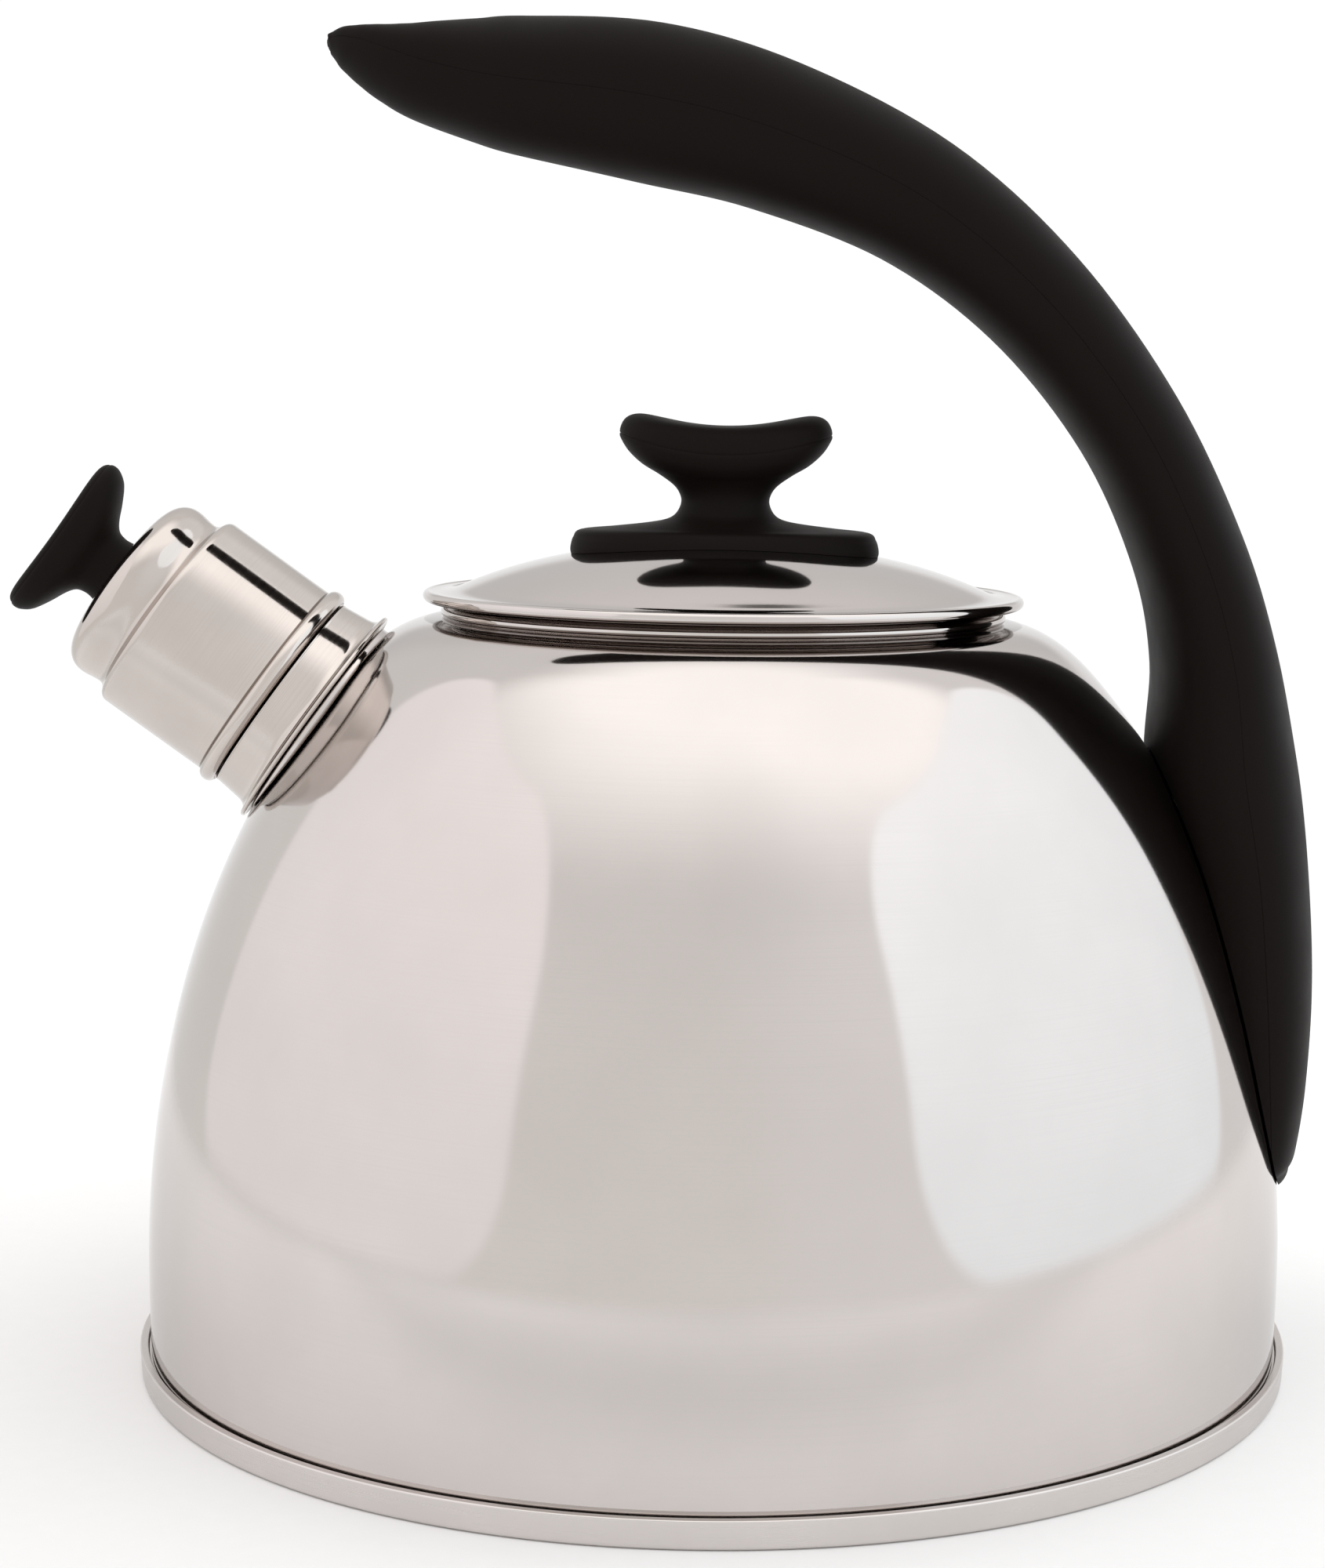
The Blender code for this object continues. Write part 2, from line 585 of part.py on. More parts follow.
def main():
    clear_scene()
    mirror_steel = make_material("mirror_steel", (0.80, 0.79, 0.77), 1.0, 0.06)
    satin_steel = make_material("satin_steel", (0.62, 0.61, 0.60), 1.0, 0.32)
    screw_steel = make_material("screw_steel", (0.55, 0.55, 0.56), 1.0, 0.35)
    aluminium = make_material("aluminium", (0.72, 0.73, 0.75), 1.0, 0.45)
    brass = make_material("brass", (0.72, 0.55, 0.26), 1.0, 0.35)
    black_plastic = make_material("black_plastic", (0.020, 0.018, 0.017), 0.0, 0.45)

    spout_tilt = -math.radians(90.0 - SPOUT_ELEVATION)
    spout_axis = make_axis("spout_axis", (SPOUT_ROOT[0], 0.0, SPOUT_ROOT[1]), (0.0, spout_tilt, 0.0))
    lid_axis = make_axis("lid_axis", (0.0, 0.0, 0.0), (0.0, 0.0, 0.0))

    make_body_shell(mirror_steel, spout_axis)
    make_floor_pan(satin_steel)
    make_heat_spreader(aluminium)
    make_base_cap(satin_steel)
    make_spout_tube(mirror_steel, spout_axis)
    body_clearance = make_body_clearance()
    make_handle_bracket(satin_steel, body_clearance)
    make_handle_grip(black_plastic, body_clearance)
    make_handle_screws(screw_steel)

    make_lid_shell(mirror_steel, lid_axis)
    make_lid_skirt(satin_steel, lid_axis)
    make_lid_knob(black_plastic, lid_axis)
    make_lid_knob_fixings(screw_steel, brass, lid_axis)

    make_whistle_cap(mirror_steel, spout_axis)
    make_whistle_sleeve(mirror_steel, spout_axis)
    make_whistle_works(screw_steel, brass, spout_axis)
    make_whistle_knob(black_plastic, spout_axis)
    make_whistle_knob_fixings(screw_steel, brass, spout_axis)


main()
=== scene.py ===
"""Looks for the stovetop whistling kettle: fine surfaces, materials, studio light and camera.

Shapes are written in millimetres and become metres when a mesh is made. The kettle's axis is
Z, the handle is on the +X side and the spout on the -X side. Pieces of the whistle are turned
about the spout's own axis and then placed by SPOUT.
"""
import math

import bmesh
import bpy
from mathutils import Matrix, Vector


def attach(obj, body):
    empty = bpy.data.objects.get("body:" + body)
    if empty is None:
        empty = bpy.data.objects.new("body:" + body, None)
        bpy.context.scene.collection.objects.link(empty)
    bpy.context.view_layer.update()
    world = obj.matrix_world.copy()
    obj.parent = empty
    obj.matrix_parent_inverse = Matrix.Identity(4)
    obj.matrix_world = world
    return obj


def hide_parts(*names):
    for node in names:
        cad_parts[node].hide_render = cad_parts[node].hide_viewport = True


MM = 0.001

# How much red, green and blue light each material returns. STEEL is the mirror-bright one.
STEEL = (0.66, 0.617, 0.596)
BRUSHED_STEEL = (0.66, 0.605, 0.568)
SATIN_STEEL = (0.70, 0.66, 0.64)
SCREW_STEEL = (0.50, 0.50, 0.51)
ALUMINIUM = (0.72, 0.73, 0.75)
BRASS = (0.68, 0.50, 0.22)
BLACK_PLASTIC = (0.0056, 0.0037, 0.0031)
EDGE_TINT = (0.85, 0.85, 0.85, 1.0)     # how much the turned steels return at grazing angles
WHITE = (1.02, 1.02, 1.02, 1.0)

# Sizes shared by several pieces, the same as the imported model's
BASE_RADIUS = 102.0
WALL = 0.8
FIT_GAP = 0.3
LID_TOP = 145.4
SPOUT_RADIUS = 17.1
SPOUT_BORE = 16.3
SPOUT_LENGTH = 18.0
WHISTLE_RADIUS = 19.05
WHISTLE_LENGTH = 41.7
WHISTLE_WALL = 0.6
SCREW_HOLE_RADIUS = 2.3

# The collar at the spout's root, which only this finer model has, and two finer gaps
COLLAR_RADIUS = 19.6
COLLAR_GAP = 0.12
KNOB_GAP = 0.05

# Holes for the knobs' screws and inserts
SCREW_PASSAGE_RADIUS = SCREW_HOLE_RADIUS + 0.2
INSERT_BORE_RADIUS = 3.6

# The spout's axis: how far it rises from level, where it starts and how that places its pieces
SPOUT_ELEVATION = math.radians(35.6)
SPOUT_ROOT = Vector((-72.06, 0.0, 113.32)) * MM
SPOUT = Matrix.Translation(SPOUT_ROOT) @ Matrix.Rotation(SPOUT_ELEVATION - math.pi / 2, 4, "Y")

# Heights of the narrow grooves around the neck and on the whistle, where shade is painted into the steel's
# colour
NECK_SEAM_SHADE = [(131.2, 131.75), (133.5, 134.85)]
WHISTLE_SEAM_SHADE = [(7.0, 7.55), (10.3, 10.75)]
SHADE_SHARES = (0.17, 0.125, 0.10)       # how much of the steel's red, green and blue it leaves

# Outline of the body's shoulder and wall
SHOULDER_START = (49.4, 131.7)
SHOULDER_MIDDLE = (70.9, 115.9)
SHOULDER_SLOPE = 52.5
WALL_FOOT = (100.35, 20.0)
BODY_FOOT = 4.2

# Handle: x, z, half depth and half width along its centre line, from the tip to the foot
HANDLE_STATIONS = [
    (-69.1, 229.35, 0.6, 1.6),
    (-68.8, 229.35, 1.25, 2.5),
    (-68.3, 229.35, 1.9, 3.3),
    (-66.6, 229.0, 3.2, 5.0),
    (-64.6, 228.3, 4.2, 6.4),
    (-61.8, 227.3, 5.4, 7.9),
    (-58.0, 226.1, 6.8, 9.4),
    (-52.8, 224.9, 8.4, 10.8),
    (-44.5, 223.8, 10.2, 12.1),
    (-36.0, 222.9, 11.7, 13.2),
    (-14.0, 220.4, 13.6, 14.4),
    (7.6, 215.2, 13.0, 15.0),
    (32.5, 204.4, 11.5, 15.8),
    (53.4, 188.0, 10.1, 16.8),
    (70.4, 166.7, 9.3, 18.6),
    (81.4, 144.5, 9.5, 21.2),
    (86.6, 125.7, 10.5, 24.6),
    (88.4, 106.9, 12.6, 28.6),
    (90.9, 90.0, 12.2, 31.6),
    (92.6, 70.0, 11.7, 33.2),
    (93.9, 52.0, 9.8, 32.0),
    (95.5, 40.0, 7.1, 26.5),
    (96.8, 36.0, 5.2, 21.0),
    (97.6, 33.4, 3.8, 15.0),
    (98.2, 31.9, 2.2, 9.0),
]
HANDLE_POWER = 2.35     # how square the cross section is
GROOVE_DEPTH = 0.09
GROOVE_HALF_WIDTH = 0.15
GROOVE_SHARE = 0.03     # the groove is no larger than this share of the half depth

# Towards the tip the parting line rises above the middle
LEAN_START = -36.0
LEAN_LENGTH = 44.0
LEAN_LIMIT = 0.4

# How far the rounded ends reach past the first and the last row, and where their rings sit
TIP_REACH = 0.12
FOOT_REACH = 0.8
END_ANGLES = (0, 25, 50, 70)

# Handle screws: height, where the bracket's boss ends and where the head sits
SCREW_SITES = [(96.0, 92.0, 97.0), (70.0, 98.0, 101.2)]
SCREW_HEAD_RADIUS = 3.8
SCREW_HEAD_HEIGHT = 2.3
SCREW_ROOM_RADIUS = 4.3
BOSS_ROOM_RADIUS = 4.6
BOSS_ROOM_GAP = 0.4

# Pocket behind the handle for the bracket: distances from the wall, heights and half angle
POCKET = (-2.0, 2.2, 61.5, 103.5)
POCKET_HALF_ANGLE = 10.4

# How finely the round pieces and the body's outline are divided
OUTLINE_STEPS = 36
ROUND_STEPS = 240


# ---------------------------------------------------------------- outlines

def bezier(p0, p1, p2, p3, count):
    """Points on a cubic curve, without its first point."""
    points = []
    for step in range(1, count + 1):
        t = step / count
        weights = ((1 - t) ** 3, 3 * t * (1 - t) ** 2, 3 * t * t * (1 - t), t ** 3)
        points.append(tuple(
            sum(w * p[axis] for w, p in zip(weights, (p0, p1, p2, p3))) for axis in (0, 1)))
    return points


def slope_curve(start, start_slope, start_pull, end, end_slope, end_pull, count):
    """A smooth outline that leaves and arrives at given downward slopes in degrees."""
    a, b = math.radians(start_slope), math.radians(end_slope)
    p1 = (start[0] + start_pull * math.cos(a), start[1] - start_pull * math.sin(a))
    p2 = (end[0] - end_pull * math.cos(b), end[1] + end_pull * math.sin(b))
    return bezier(start, p1, p2, end, count)


def arc(centre, radius, start, end, count):
    """Points on an arc, both ends included. Angles in degrees from +r towards +z."""
    points = []
    for step in range(count + 1):
        angle = math.radians(start + (end - start) * step / count)
        points.append((centre[0] + radius * math.cos(angle), centre[1] + radius * math.sin(angle)))
    return points


def offset_open(points, distance):
    """Moves an open outline sideways, to the left of its direction."""
    moved = []
    for index, point in enumerate(points):
        before = points[max(index - 1, 0)]
        after = points[min(index + 1, len(points) - 1)]
        dx, dz = after[0] - before[0], after[1] - before[1]
        length = math.hypot(dx, dz)
        moved.append((point[0] - distance * dz / length, point[1] + distance * dx / length))
    return moved


def rounded(corners, steps=5):
    """A closed outline from (r, z, corner radius) corners, each corner turned into an arc."""
    points = []
    for index, (x, z, radius) in enumerate(corners):
        if radius <= 0.0:
            points.append((x, z))
            continue
        corner = Vector((x, z))
        before = Vector(corners[index - 1][:2]) - corner
        after = Vector(corners[(index + 1) % len(corners)][:2]) - corner
        half = before.angle(after) / 2
        reach = min(radius / math.tan(half), 0.49 * before.length, 0.49 * after.length)
        start = corner + before.normalized() * reach
        end = corner + after.normalized() * reach
        for step in range(steps + 1):
            t = step / steps
            shares = ((1 - t) ** 2, 2 * math.sin(half) * t * (1 - t), t ** 2)
            point = (start * shares[0] + corner * shares[1] + end * shares[2]) / sum(shares)
            points.append((point.x, point.y))
    return points


def turn_angle(before, point, after):
    """How far an outline turns at a point, in degrees."""
    first = math.atan2(point[1] - before[1], point[0] - before[0])
    second = math.atan2(after[1] - point[1], after[0] - point[0])
    return abs(math.degrees(math.remainder(second - first, 2 * math.pi)))


def with_support(outline, reach=0.12, bend=6.0):
    """Adds points beside the corners of a closed outline, so that the flat stretches shade flat."""
    points = []
    count = len(outline)
    corner = [turn_angle(outline[k - 1], outline[k], outline[(k + 1) % count]) > bend
              for k in range(count)]
    for index in range(count):
        after = (index + 1) % count
        start, end = outline[index], outline[after]
        points.append(start)
        length = math.dist(start, end)
        if length < 6 * reach:
            continue
        for share, wanted in ((reach / length, corner[index]), (1 - reach / length, corner[after])):
            if wanted:
                points.append(tuple(a + share * (b - a) for a, b in zip(start, end)))
    return points


# ---------------------------------------------------------------- meshes

def finished_mesh(name, vertices, faces, crease=40.0):
    """A mesh from vertices in millimetres, smooth except where faces meet above the crease angle."""
    mesh = bpy.data.meshes.new(name)
    mesh.from_pydata([Vector(v) * MM for v in vertices], [], faces)
    build = bmesh.new()
    build.from_mesh(mesh)
    bmesh.ops.recalc_face_normals(build, faces=build.faces)
    build.to_mesh(mesh)
    build.free()
    mesh.shade_smooth()
    mesh.set_sharp_from_angle(angle=math.radians(crease))
    return mesh


def new_object(name, data, matrix=None):
    """Puts a mesh or a camera into the scene as an object."""
    obj = bpy.data.objects.new(name, data)
    bpy.context.scene.collection.objects.link(obj)
    if matrix is not None:
        obj.matrix_world = matrix
    return obj


def lathe(name, outline, segments=160, matrix=None, crease=40.0):
    """Turns a closed (radius, height) outline about Z. Points at radius 0 become poles."""
    vertices, rings = [], []
    for radius, height in with_support(outline):
        if radius < 1e-6:
            rings.append([len(vertices)])
            vertices.append((0.0, 0.0, height))
            continue
        ring = []
        for step in range(segments):
            angle = 2 * math.pi * step / segments
            ring.append(len(vertices))
            vertices.append((radius * math.cos(angle), radius * math.sin(angle), height))
        rings.append(ring)
    faces = []
    for first, second in zip(rings, rings[1:] + rings[:1]):
        if len(first) == 1 and len(second) == 1:
            continue
        for step in range(segments):
            after = (step + 1) % segments
            corners = [first[step % len(first)], first[after % len(first)],
                       second[after % len(second)], second[step % len(second)]]
            faces.append(list(dict.fromkeys(corners)))
    return new_object(name, finished_mesh(name, vertices, faces, crease), matrix)


def loft(name, rings, matrix=None, crease=40.0):
    """Joins equal rings of vertices and closes both ends with a fan."""
    count = len(rings[0])
    vertices = [Vector(vertex) for ring in rings for vertex in ring]
    faces = []
    for index in range(len(rings) - 1):
        for point in range(count):
            after = (point + 1) % count
            low, high = index * count, (index + 1) * count
            faces.append([low + point, low + after, high + after, high + point])
    for start in (0, (len(rings) - 1) * count):
        hub = len(vertices)
        vertices.append(sum((vertices[start + k] for k in range(count)), Vector()) / count)
        faces.extend([start + k, start + (k + 1) % count, hub] for k in range(count))
    return new_object(name, finished_mesh(name, vertices, faces, crease), matrix)


def superellipse(half_x, half_y, power, segments):
    """Points around an oval that is squarer the higher its power is."""
    points = []
    for step in range(segments):
        angle = 2 * math.pi * step / segments
        cosine, sine = math.cos(angle), math.sin(angle)
        points.append((
            math.copysign(half_x * abs(cosine) ** (2 / power), cosine),
            math.copysign(half_y * abs(sine) ** (2 / power), sine)))
    return points


def cylinder(name, radius, start, end, segments=64, matrix=None):
    """A plain round tool for cutting holes."""
    return lathe(name, [(0.0, start), (radius, start), (radius, end), (0.0, end)], segments, matrix)


def cut(target, *tools):
    """Cuts the tools out of the target, keeps the result as its mesh and removes the tools."""
    for tool in tools:
        modifier = target.modifiers.new("cut", "BOOLEAN")
        modifier.operation = "DIFFERENCE"
        modifier.solver = "EXACT"
        modifier.object = tool
    bpy.context.view_layer.update()
    evaluated = target.evaluated_get(bpy.context.evaluated_depsgraph_get())
    mesh = bpy.data.meshes.new_from_object(evaluated)
    target.modifiers.clear()
    target.data = mesh
    for tool in tools:
        bpy.data.objects.remove(tool, do_unlink=True)
    mesh.shade_smooth()
    mesh.set_sharp_from_angle(angle=math.radians(30.0))


def catmull_rom(stations, per_span):
    """A smooth curve through rows of numbers."""
    result = []
    for index in range(len(stations) - 1):
        before = stations[max(index - 1, 0)]
        start, end = stations[index], stations[index + 1]
        after = stations[min(index + 2, len(stations) - 1)]
        for step in range(per_span):
            t = step / per_span
            result.append(tuple(
                0.5 * (2 * b + (c - a) * t + (2 * a - 5 * b + 4 * c - d) * t * t
                       + (3 * b - a - 3 * c + d) * t ** 3)
                for a, b, c, d in zip(before, start, end, after)))
    result.append(stations[-1])
    return result


# ---------------------------------------------------------------- materials

class Nodes:
    """A short way to add and join shader nodes in one tree."""

    def __init__(self, tree):
        self.tree = tree

    def feed(self, socket, value):
        """Joins another node's output to a socket, or sets the socket's own value."""
        if isinstance(value, bpy.types.NodeSocket):
            self.tree.links.new(value, socket)
        else:
            socket.default_value = value

    def add(self, kind, inputs=None, **settings):
        """A new node with its settings and its inputs, by name or number."""
        node = self.tree.nodes.new(kind)
        for key, value in settings.items():
            setattr(node, key, value)
        for key, value in (inputs or {}).items():
            self.feed(node.inputs[key], value)
        return node

    def math(self, operation, *values):
        """The result of one operation on one or two values."""
        node = self.add("ShaderNodeMath", dict(enumerate(values)), operation=operation)
        return node.outputs[0]

    def remap(self, value, low, high, to_low, to_high, smooth=False):
        """Carries a value from one range to another and keeps it inside."""
        kind = "SMOOTHSTEP" if smooth else "LINEAR"
        node = self.add("ShaderNodeMapRange", {"Value": value, "From Min": low, "From Max": high,
                                               "To Min": to_low, "To Max": to_high},
                        interpolation_type=kind)
        return node.outputs["Result"]

    def mix(self, share, a, b):
        """Mixes two colours."""
        node = self.add("ShaderNodeMix", data_type="RGBA")
        for number, value in ((0, share), (6, a), (7, b)):
            self.feed(node.inputs[number], value)
        return node.outputs[2]

    def length(self, vector):
        """How long a vector is."""
        return self.add("ShaderNodeVectorMath", {0: vector}, operation="LENGTH").outputs["Value"]

    def noise(self, vector, scale, detail=2.0, roughness=0.5):
        """Soft random values around 0.5."""
        node = self.add("ShaderNodeTexNoise", {"Vector": vector, "Scale": scale, "Detail": detail,
                                               "Roughness": roughness})
        return node.outputs["Fac"]


def new_material(name):
    """A material, a helper for its nodes and its shader."""
    material = bpy.data.materials.new(name)
    material.use_nodes = True
    return material, Nodes(material.node_tree), material.node_tree.nodes["Principled BSDF"]


def turned_coordinates(nodes, along, across):
    """Coordinates that change slowly around an axis and quickly along the turned outline."""
    place = nodes.add("ShaderNodeTexCoord").outputs["Object"]
    split = nodes.add("ShaderNodeSeparateXYZ", {"Vector": place})
    x, y, z = split.outputs
    flat = nodes.add("ShaderNodeCombineXYZ", {"X": x, "Y": y})
    radius = nodes.length(flat.outputs[0])
    travel = nodes.math("SUBTRACT", radius, z)
    streak = nodes.add("ShaderNodeCombineXYZ", {"X": nodes.math("MULTIPLY", x, along),
                                                "Y": nodes.math("MULTIPLY", y, along),
                                                "Z": nodes.math("MULTIPLY", travel, across)})
    return place, streak.outputs[0]


def painted_seam_shade(nodes, tint, height, seams, colour):
    """Paints shade into a tint where the height is inside one of the seams: the grooves' shadow drawn as a
    darker colour.
    """
    painted_shade_colour = (*(share * channel for share, channel in zip(SHADE_SHARES, colour)), 1.0)
    for low, high in seams:
        from_middle = nodes.math("ABSOLUTE", nodes.math("SUBTRACT", height, (low + high) / 2 * MM))
        half = (high - low) / 2 * MM
        painted_shade_amount = nodes.remap(from_middle, 0.7 * half, 1.1 * half, 0.85, 0.0, smooth=True)
        tint = nodes.mix(painted_shade_amount, tint, painted_shade_colour)
    return tint


def turned_steel(name, colour, roughness, spread, streak_depth, seams=(), dulled=0.955, anisotropy=0.0):
    """Stainless steel with polishing lines around its axis, a faint cloudiness and painted shade in its
    seams.
    """
    material, nodes, shader = new_material(name)
    place, streak = turned_coordinates(nodes, along=18.0, across=5200.0)
    lines = nodes.noise(streak, 1.0, 3.0, 0.6)
    cloud = nodes.noise(place, 38.0, 3.0, 0.55)
    darker = tuple(channel * dulled for channel in colour)
    tint = nodes.mix(nodes.remap(cloud, 0.35, 0.65, 0.0, 1.0), (*darker, 1.0), (*colour, 1.0))
    tint = nodes.mix(nodes.remap(lines, 0.45, 0.7, 0.0, 0.5), tint, (*darker, 1.0))
    height = nodes.add("ShaderNodeSeparateXYZ", {"Vector": place}).outputs["Z"]
    # painted shade: the colour is darkened inside the seams' grooves
    tint = painted_seam_shade(nodes, tint, height, seams, colour)
    wear = nodes.math("ADD", nodes.remap(lines, 0.3, 0.7, -spread, spread),
                      nodes.remap(cloud, 0.3, 0.7, roughness - spread * 0.5, roughness + spread * 0.5))
    bump = nodes.add("ShaderNodeBump", {"Strength": 1.0, "Distance": streak_depth, "Height": lines})
    links = material.node_tree.links
    links.new(tint, shader.inputs["Base Color"])
    links.new(wear, shader.inputs["Roughness"])
    links.new(bump.outputs[0], shader.inputs["Normal"])
    shader.inputs["Metallic"].default_value = 1.0
    shader.inputs["Specular Tint"].default_value = EDGE_TINT
    shader.inputs["Anisotropic"].default_value = anisotropy
    return material


def moulded_plastic(name, colour):
    """Matte black moulding with a fine spark-eroded grain and faint scuffs."""
    material, nodes, shader = new_material(name)
    place = nodes.add("ShaderNodeTexCoord").outputs["Object"]
    grain = nodes.noise(place, 3600.0, 2.0, 0.6)
    cloud = nodes.noise(place, 55.0, 4.0, 0.6)
    stretched = nodes.add("ShaderNodeMapping", {"Vector": place, "Scale": (60.0, 60.0, 420.0),
                                                "Rotation": (0.3, 0.5, 0.2)}).outputs[0]
    scuff = nodes.remap(nodes.noise(stretched, 1.0, 4.0, 0.7), 0.66, 0.80, 0.0, 1.0)
    rubbed = nodes.math("MULTIPLY", scuff, nodes.remap(cloud, 0.55, 0.7, 0.0, 1.0))
    pale = tuple(channel * 1.8 + 0.010 for channel in colour)
    base = nodes.mix(nodes.remap(cloud, 0.3, 0.7, 0.0, 0.35), (*colour, 1.0),
                     (*(channel * 1.5 for channel in colour), 1.0))
    base = nodes.mix(nodes.math("MULTIPLY", rubbed, 0.5), base, (*pale, 1.0))
    bump = nodes.add("ShaderNodeBump", {"Strength": 0.5, "Distance": 0.00003, "Height": grain})
    links = material.node_tree.links
    links.new(base, shader.inputs["Base Color"])
    links.new(nodes.remap(cloud, 0.3, 0.7, 0.50, 0.62), shader.inputs["Roughness"])
    links.new(bump.outputs[0], shader.inputs["Normal"])
    shader.inputs["Specular IOR Level"].default_value = 0.085
    return material


def plain_metal(name, colour, roughness):
    """Machined or pressed metal for the small inner pieces."""
    material, nodes, shader = new_material(name)
    place, streak = turned_coordinates(nodes, along=60.0, across=2600.0)
    lines = nodes.noise(streak, 1.0, 2.0, 0.5)
    stain = nodes.noise(place, 160.0, 3.0, 0.6)
    dull = tuple(channel * 0.8 for channel in colour)
    links = material.node_tree.links
    links.new(nodes.mix(nodes.remap(stain, 0.35, 0.7, 0.0, 1.0), (*colour, 1.0), (*dull, 1.0)),
              shader.inputs["Base Color"])
    wear = nodes.remap(lines, 0.3, 0.7, roughness - 0.06, roughness + 0.08)
    links.new(wear, shader.inputs["Roughness"])
    bump = nodes.add("ShaderNodeBump", {"Strength": 1.0, "Distance": 0.000004, "Height": lines})
    links.new(bump.outputs[0], shader.inputs["Normal"])
    shader.inputs["Metallic"].default_value = 1.0
    return material


# ---------------------------------------------------------------- kettle pieces

def body_outline(count):
    """The body's outer outline from the neck's foot down to its bottom edge."""
    crown = slope_curve(SHOULDER_START, 4.0, 9.4, SHOULDER_MIDDLE, SHOULDER_SLOPE, 9.6, count)
    side = slope_curve(SHOULDER_MIDDLE, SHOULDER_SLOPE, 31.0, WALL_FOOT, 90.0, 36.0, 2 * count)
    foot = bezier(WALL_FOOT, (100.35, 14.0), (100.25, 8.0), (100.05, BODY_FOOT), 8)
    return [SHOULDER_START] + crown + side + foot


def make_body():
    """The body's wall, shoulder and neck ring, open at the neck, the bottom and the spout."""
    outer = body_outline(OUTLINE_STEPS)
    inner = offset_open(outer, -WALL)[1:]
    neck_outer = ([(48.0, 134.9)] + arc((48.35, 134.85), 0.33, 150.0, 0.0, 5) + [(48.68, 134.0)]
                  + arc((48.6, 132.62), 0.95, 75.0, -62.0, 12))
    neck_inner = [(47.9, 130.6), (47.9, 134.6)]
    outline = neck_outer + outer + inner[::-1] + neck_inner
    body = lathe("body_skin", outline, ROUND_STEPS, crease=50.0)
    cut(body, cylinder("spout_hole", COLLAR_RADIUS + COLLAR_GAP, -14.0, 12.0, 128, SPOUT))
    return body


def make_base_cap():
    """A shallow dish whose rim stands just outside the body's foot, with a ledge below the foot."""
    corners = [(0.0, 0.0, 0.0), (101.75, 0.0, 0.7), (BASE_RADIUS, 4.8, 0.3), (100.6, 4.8, 0.2),
               (100.55, 3.9, 0.2), (98.7, 3.9, 0.2), (98.7, WALL, 0.3), (0.0, WALL, 0.0)]
    return lathe("base_cap_skin", rounded(corners, 6), ROUND_STEPS)


def make_spout():
    """The spout tube, with the collar at its root that is let into the body."""
    corners = [(SPOUT_RADIUS, -5.0, 0.1), (SPOUT_RADIUS, -4.4, 0.1), (COLLAR_RADIUS, -4.1, 0.2),
               (COLLAR_RADIUS, -0.6, 0.35), (17.5, -0.6, 0.1), (SPOUT_RADIUS, -0.3, 0.2),
               (SPOUT_RADIUS, 16.6, 1.0), (16.75, SPOUT_LENGTH, 0.35), (15.95, SPOUT_LENGTH, 0.35),
               (SPOUT_BORE, 16.4, 1.0), (SPOUT_BORE, -5.0, 0.1)]
    return lathe("spout_tube_skin", rounded(corners), 128, SPOUT)


def handle_section(half_depth, half_width, segments=88):
    """A superellipse with a fine mould parting groove along each side, as (depth, across)."""
    groove_depth = min(GROOVE_DEPTH, GROOVE_SHARE * half_depth)
    groove_side = min(GROOVE_HALF_WIDTH, GROOVE_SHARE * half_depth)
    points = []
    for depth, across in superellipse(half_depth, half_width, HANDLE_POWER, segments):
        if abs(depth) > 1e-6:
            points.append((depth, across))
            continue
        side = math.copysign(1.0, across)
        points.append((side * groove_side, across))
        points.append((0.0, across - side * groove_depth))
        points.append((-side * groove_side, across))
    return points


def handle_lean(x):
    """How far the parting line sits above the middle near the tip, as a share of the half depth."""
    return min(LEAN_LIMIT, (max(0.0, LEAN_START - x) / LEAN_LENGTH) ** 2)


def end_scales(index, last):
    """Sizes and places of a station's rings: one ring, or a rounded end at the tip and the foot."""
    if index not in (0, last):
        return [(1.0, 0.0)]
    reach = TIP_REACH if index == 0 else FOOT_REACH
    angles = [math.radians(angle) for angle in END_ANGLES]
    scales = [(math.cos(angle), reach * math.sin(angle)) for angle in angles]
    if index == 0:
        return [(size, -along) for size, along in scales[::-1]]
    return scales


def handle_rings():
    """The handle's cross sections from the tip to the foot."""
    stations = catmull_rom(HANDLE_STATIONS, per_span=9)
    rings = []
    last = len(stations) - 1
    for index, (x, z, half_depth, half_width) in enumerate(stations):
        before, after = stations[max(index - 1, 0)], stations[min(index + 1, last)]
        tangent = Vector((after[0] - before[0], 0.0, after[1] - before[1])).normalized()
        outward = Vector((-tangent.z, 0.0, tangent.x))
        centre = Vector((x, 0.0, z))
        for size, reach in end_scales(index, last):
            section = handle_section(half_depth * size, half_width * size)
            middle = centre + tangent * reach
            lift = handle_lean(x) * half_depth * size
            rings.append([middle + outward * (depth + lift * (across / (half_width * size)) ** 2)
                          + Vector((0.0, across, 0.0)) for depth, across in section])
    return rings


def handle_screw_places():
    """Each handle screw's site, the wall's radius there and the turn that points it outwards."""
    for z, boss_end, seat in SCREW_SITES:
        turn = Matrix.Translation((0.0, 0.0, z * MM)) @ Matrix.Rotation(math.pi / 2, 4, "Y")
        yield boss_end, seat, crossing(body_outline(OUTLINE_STEPS), z), turn


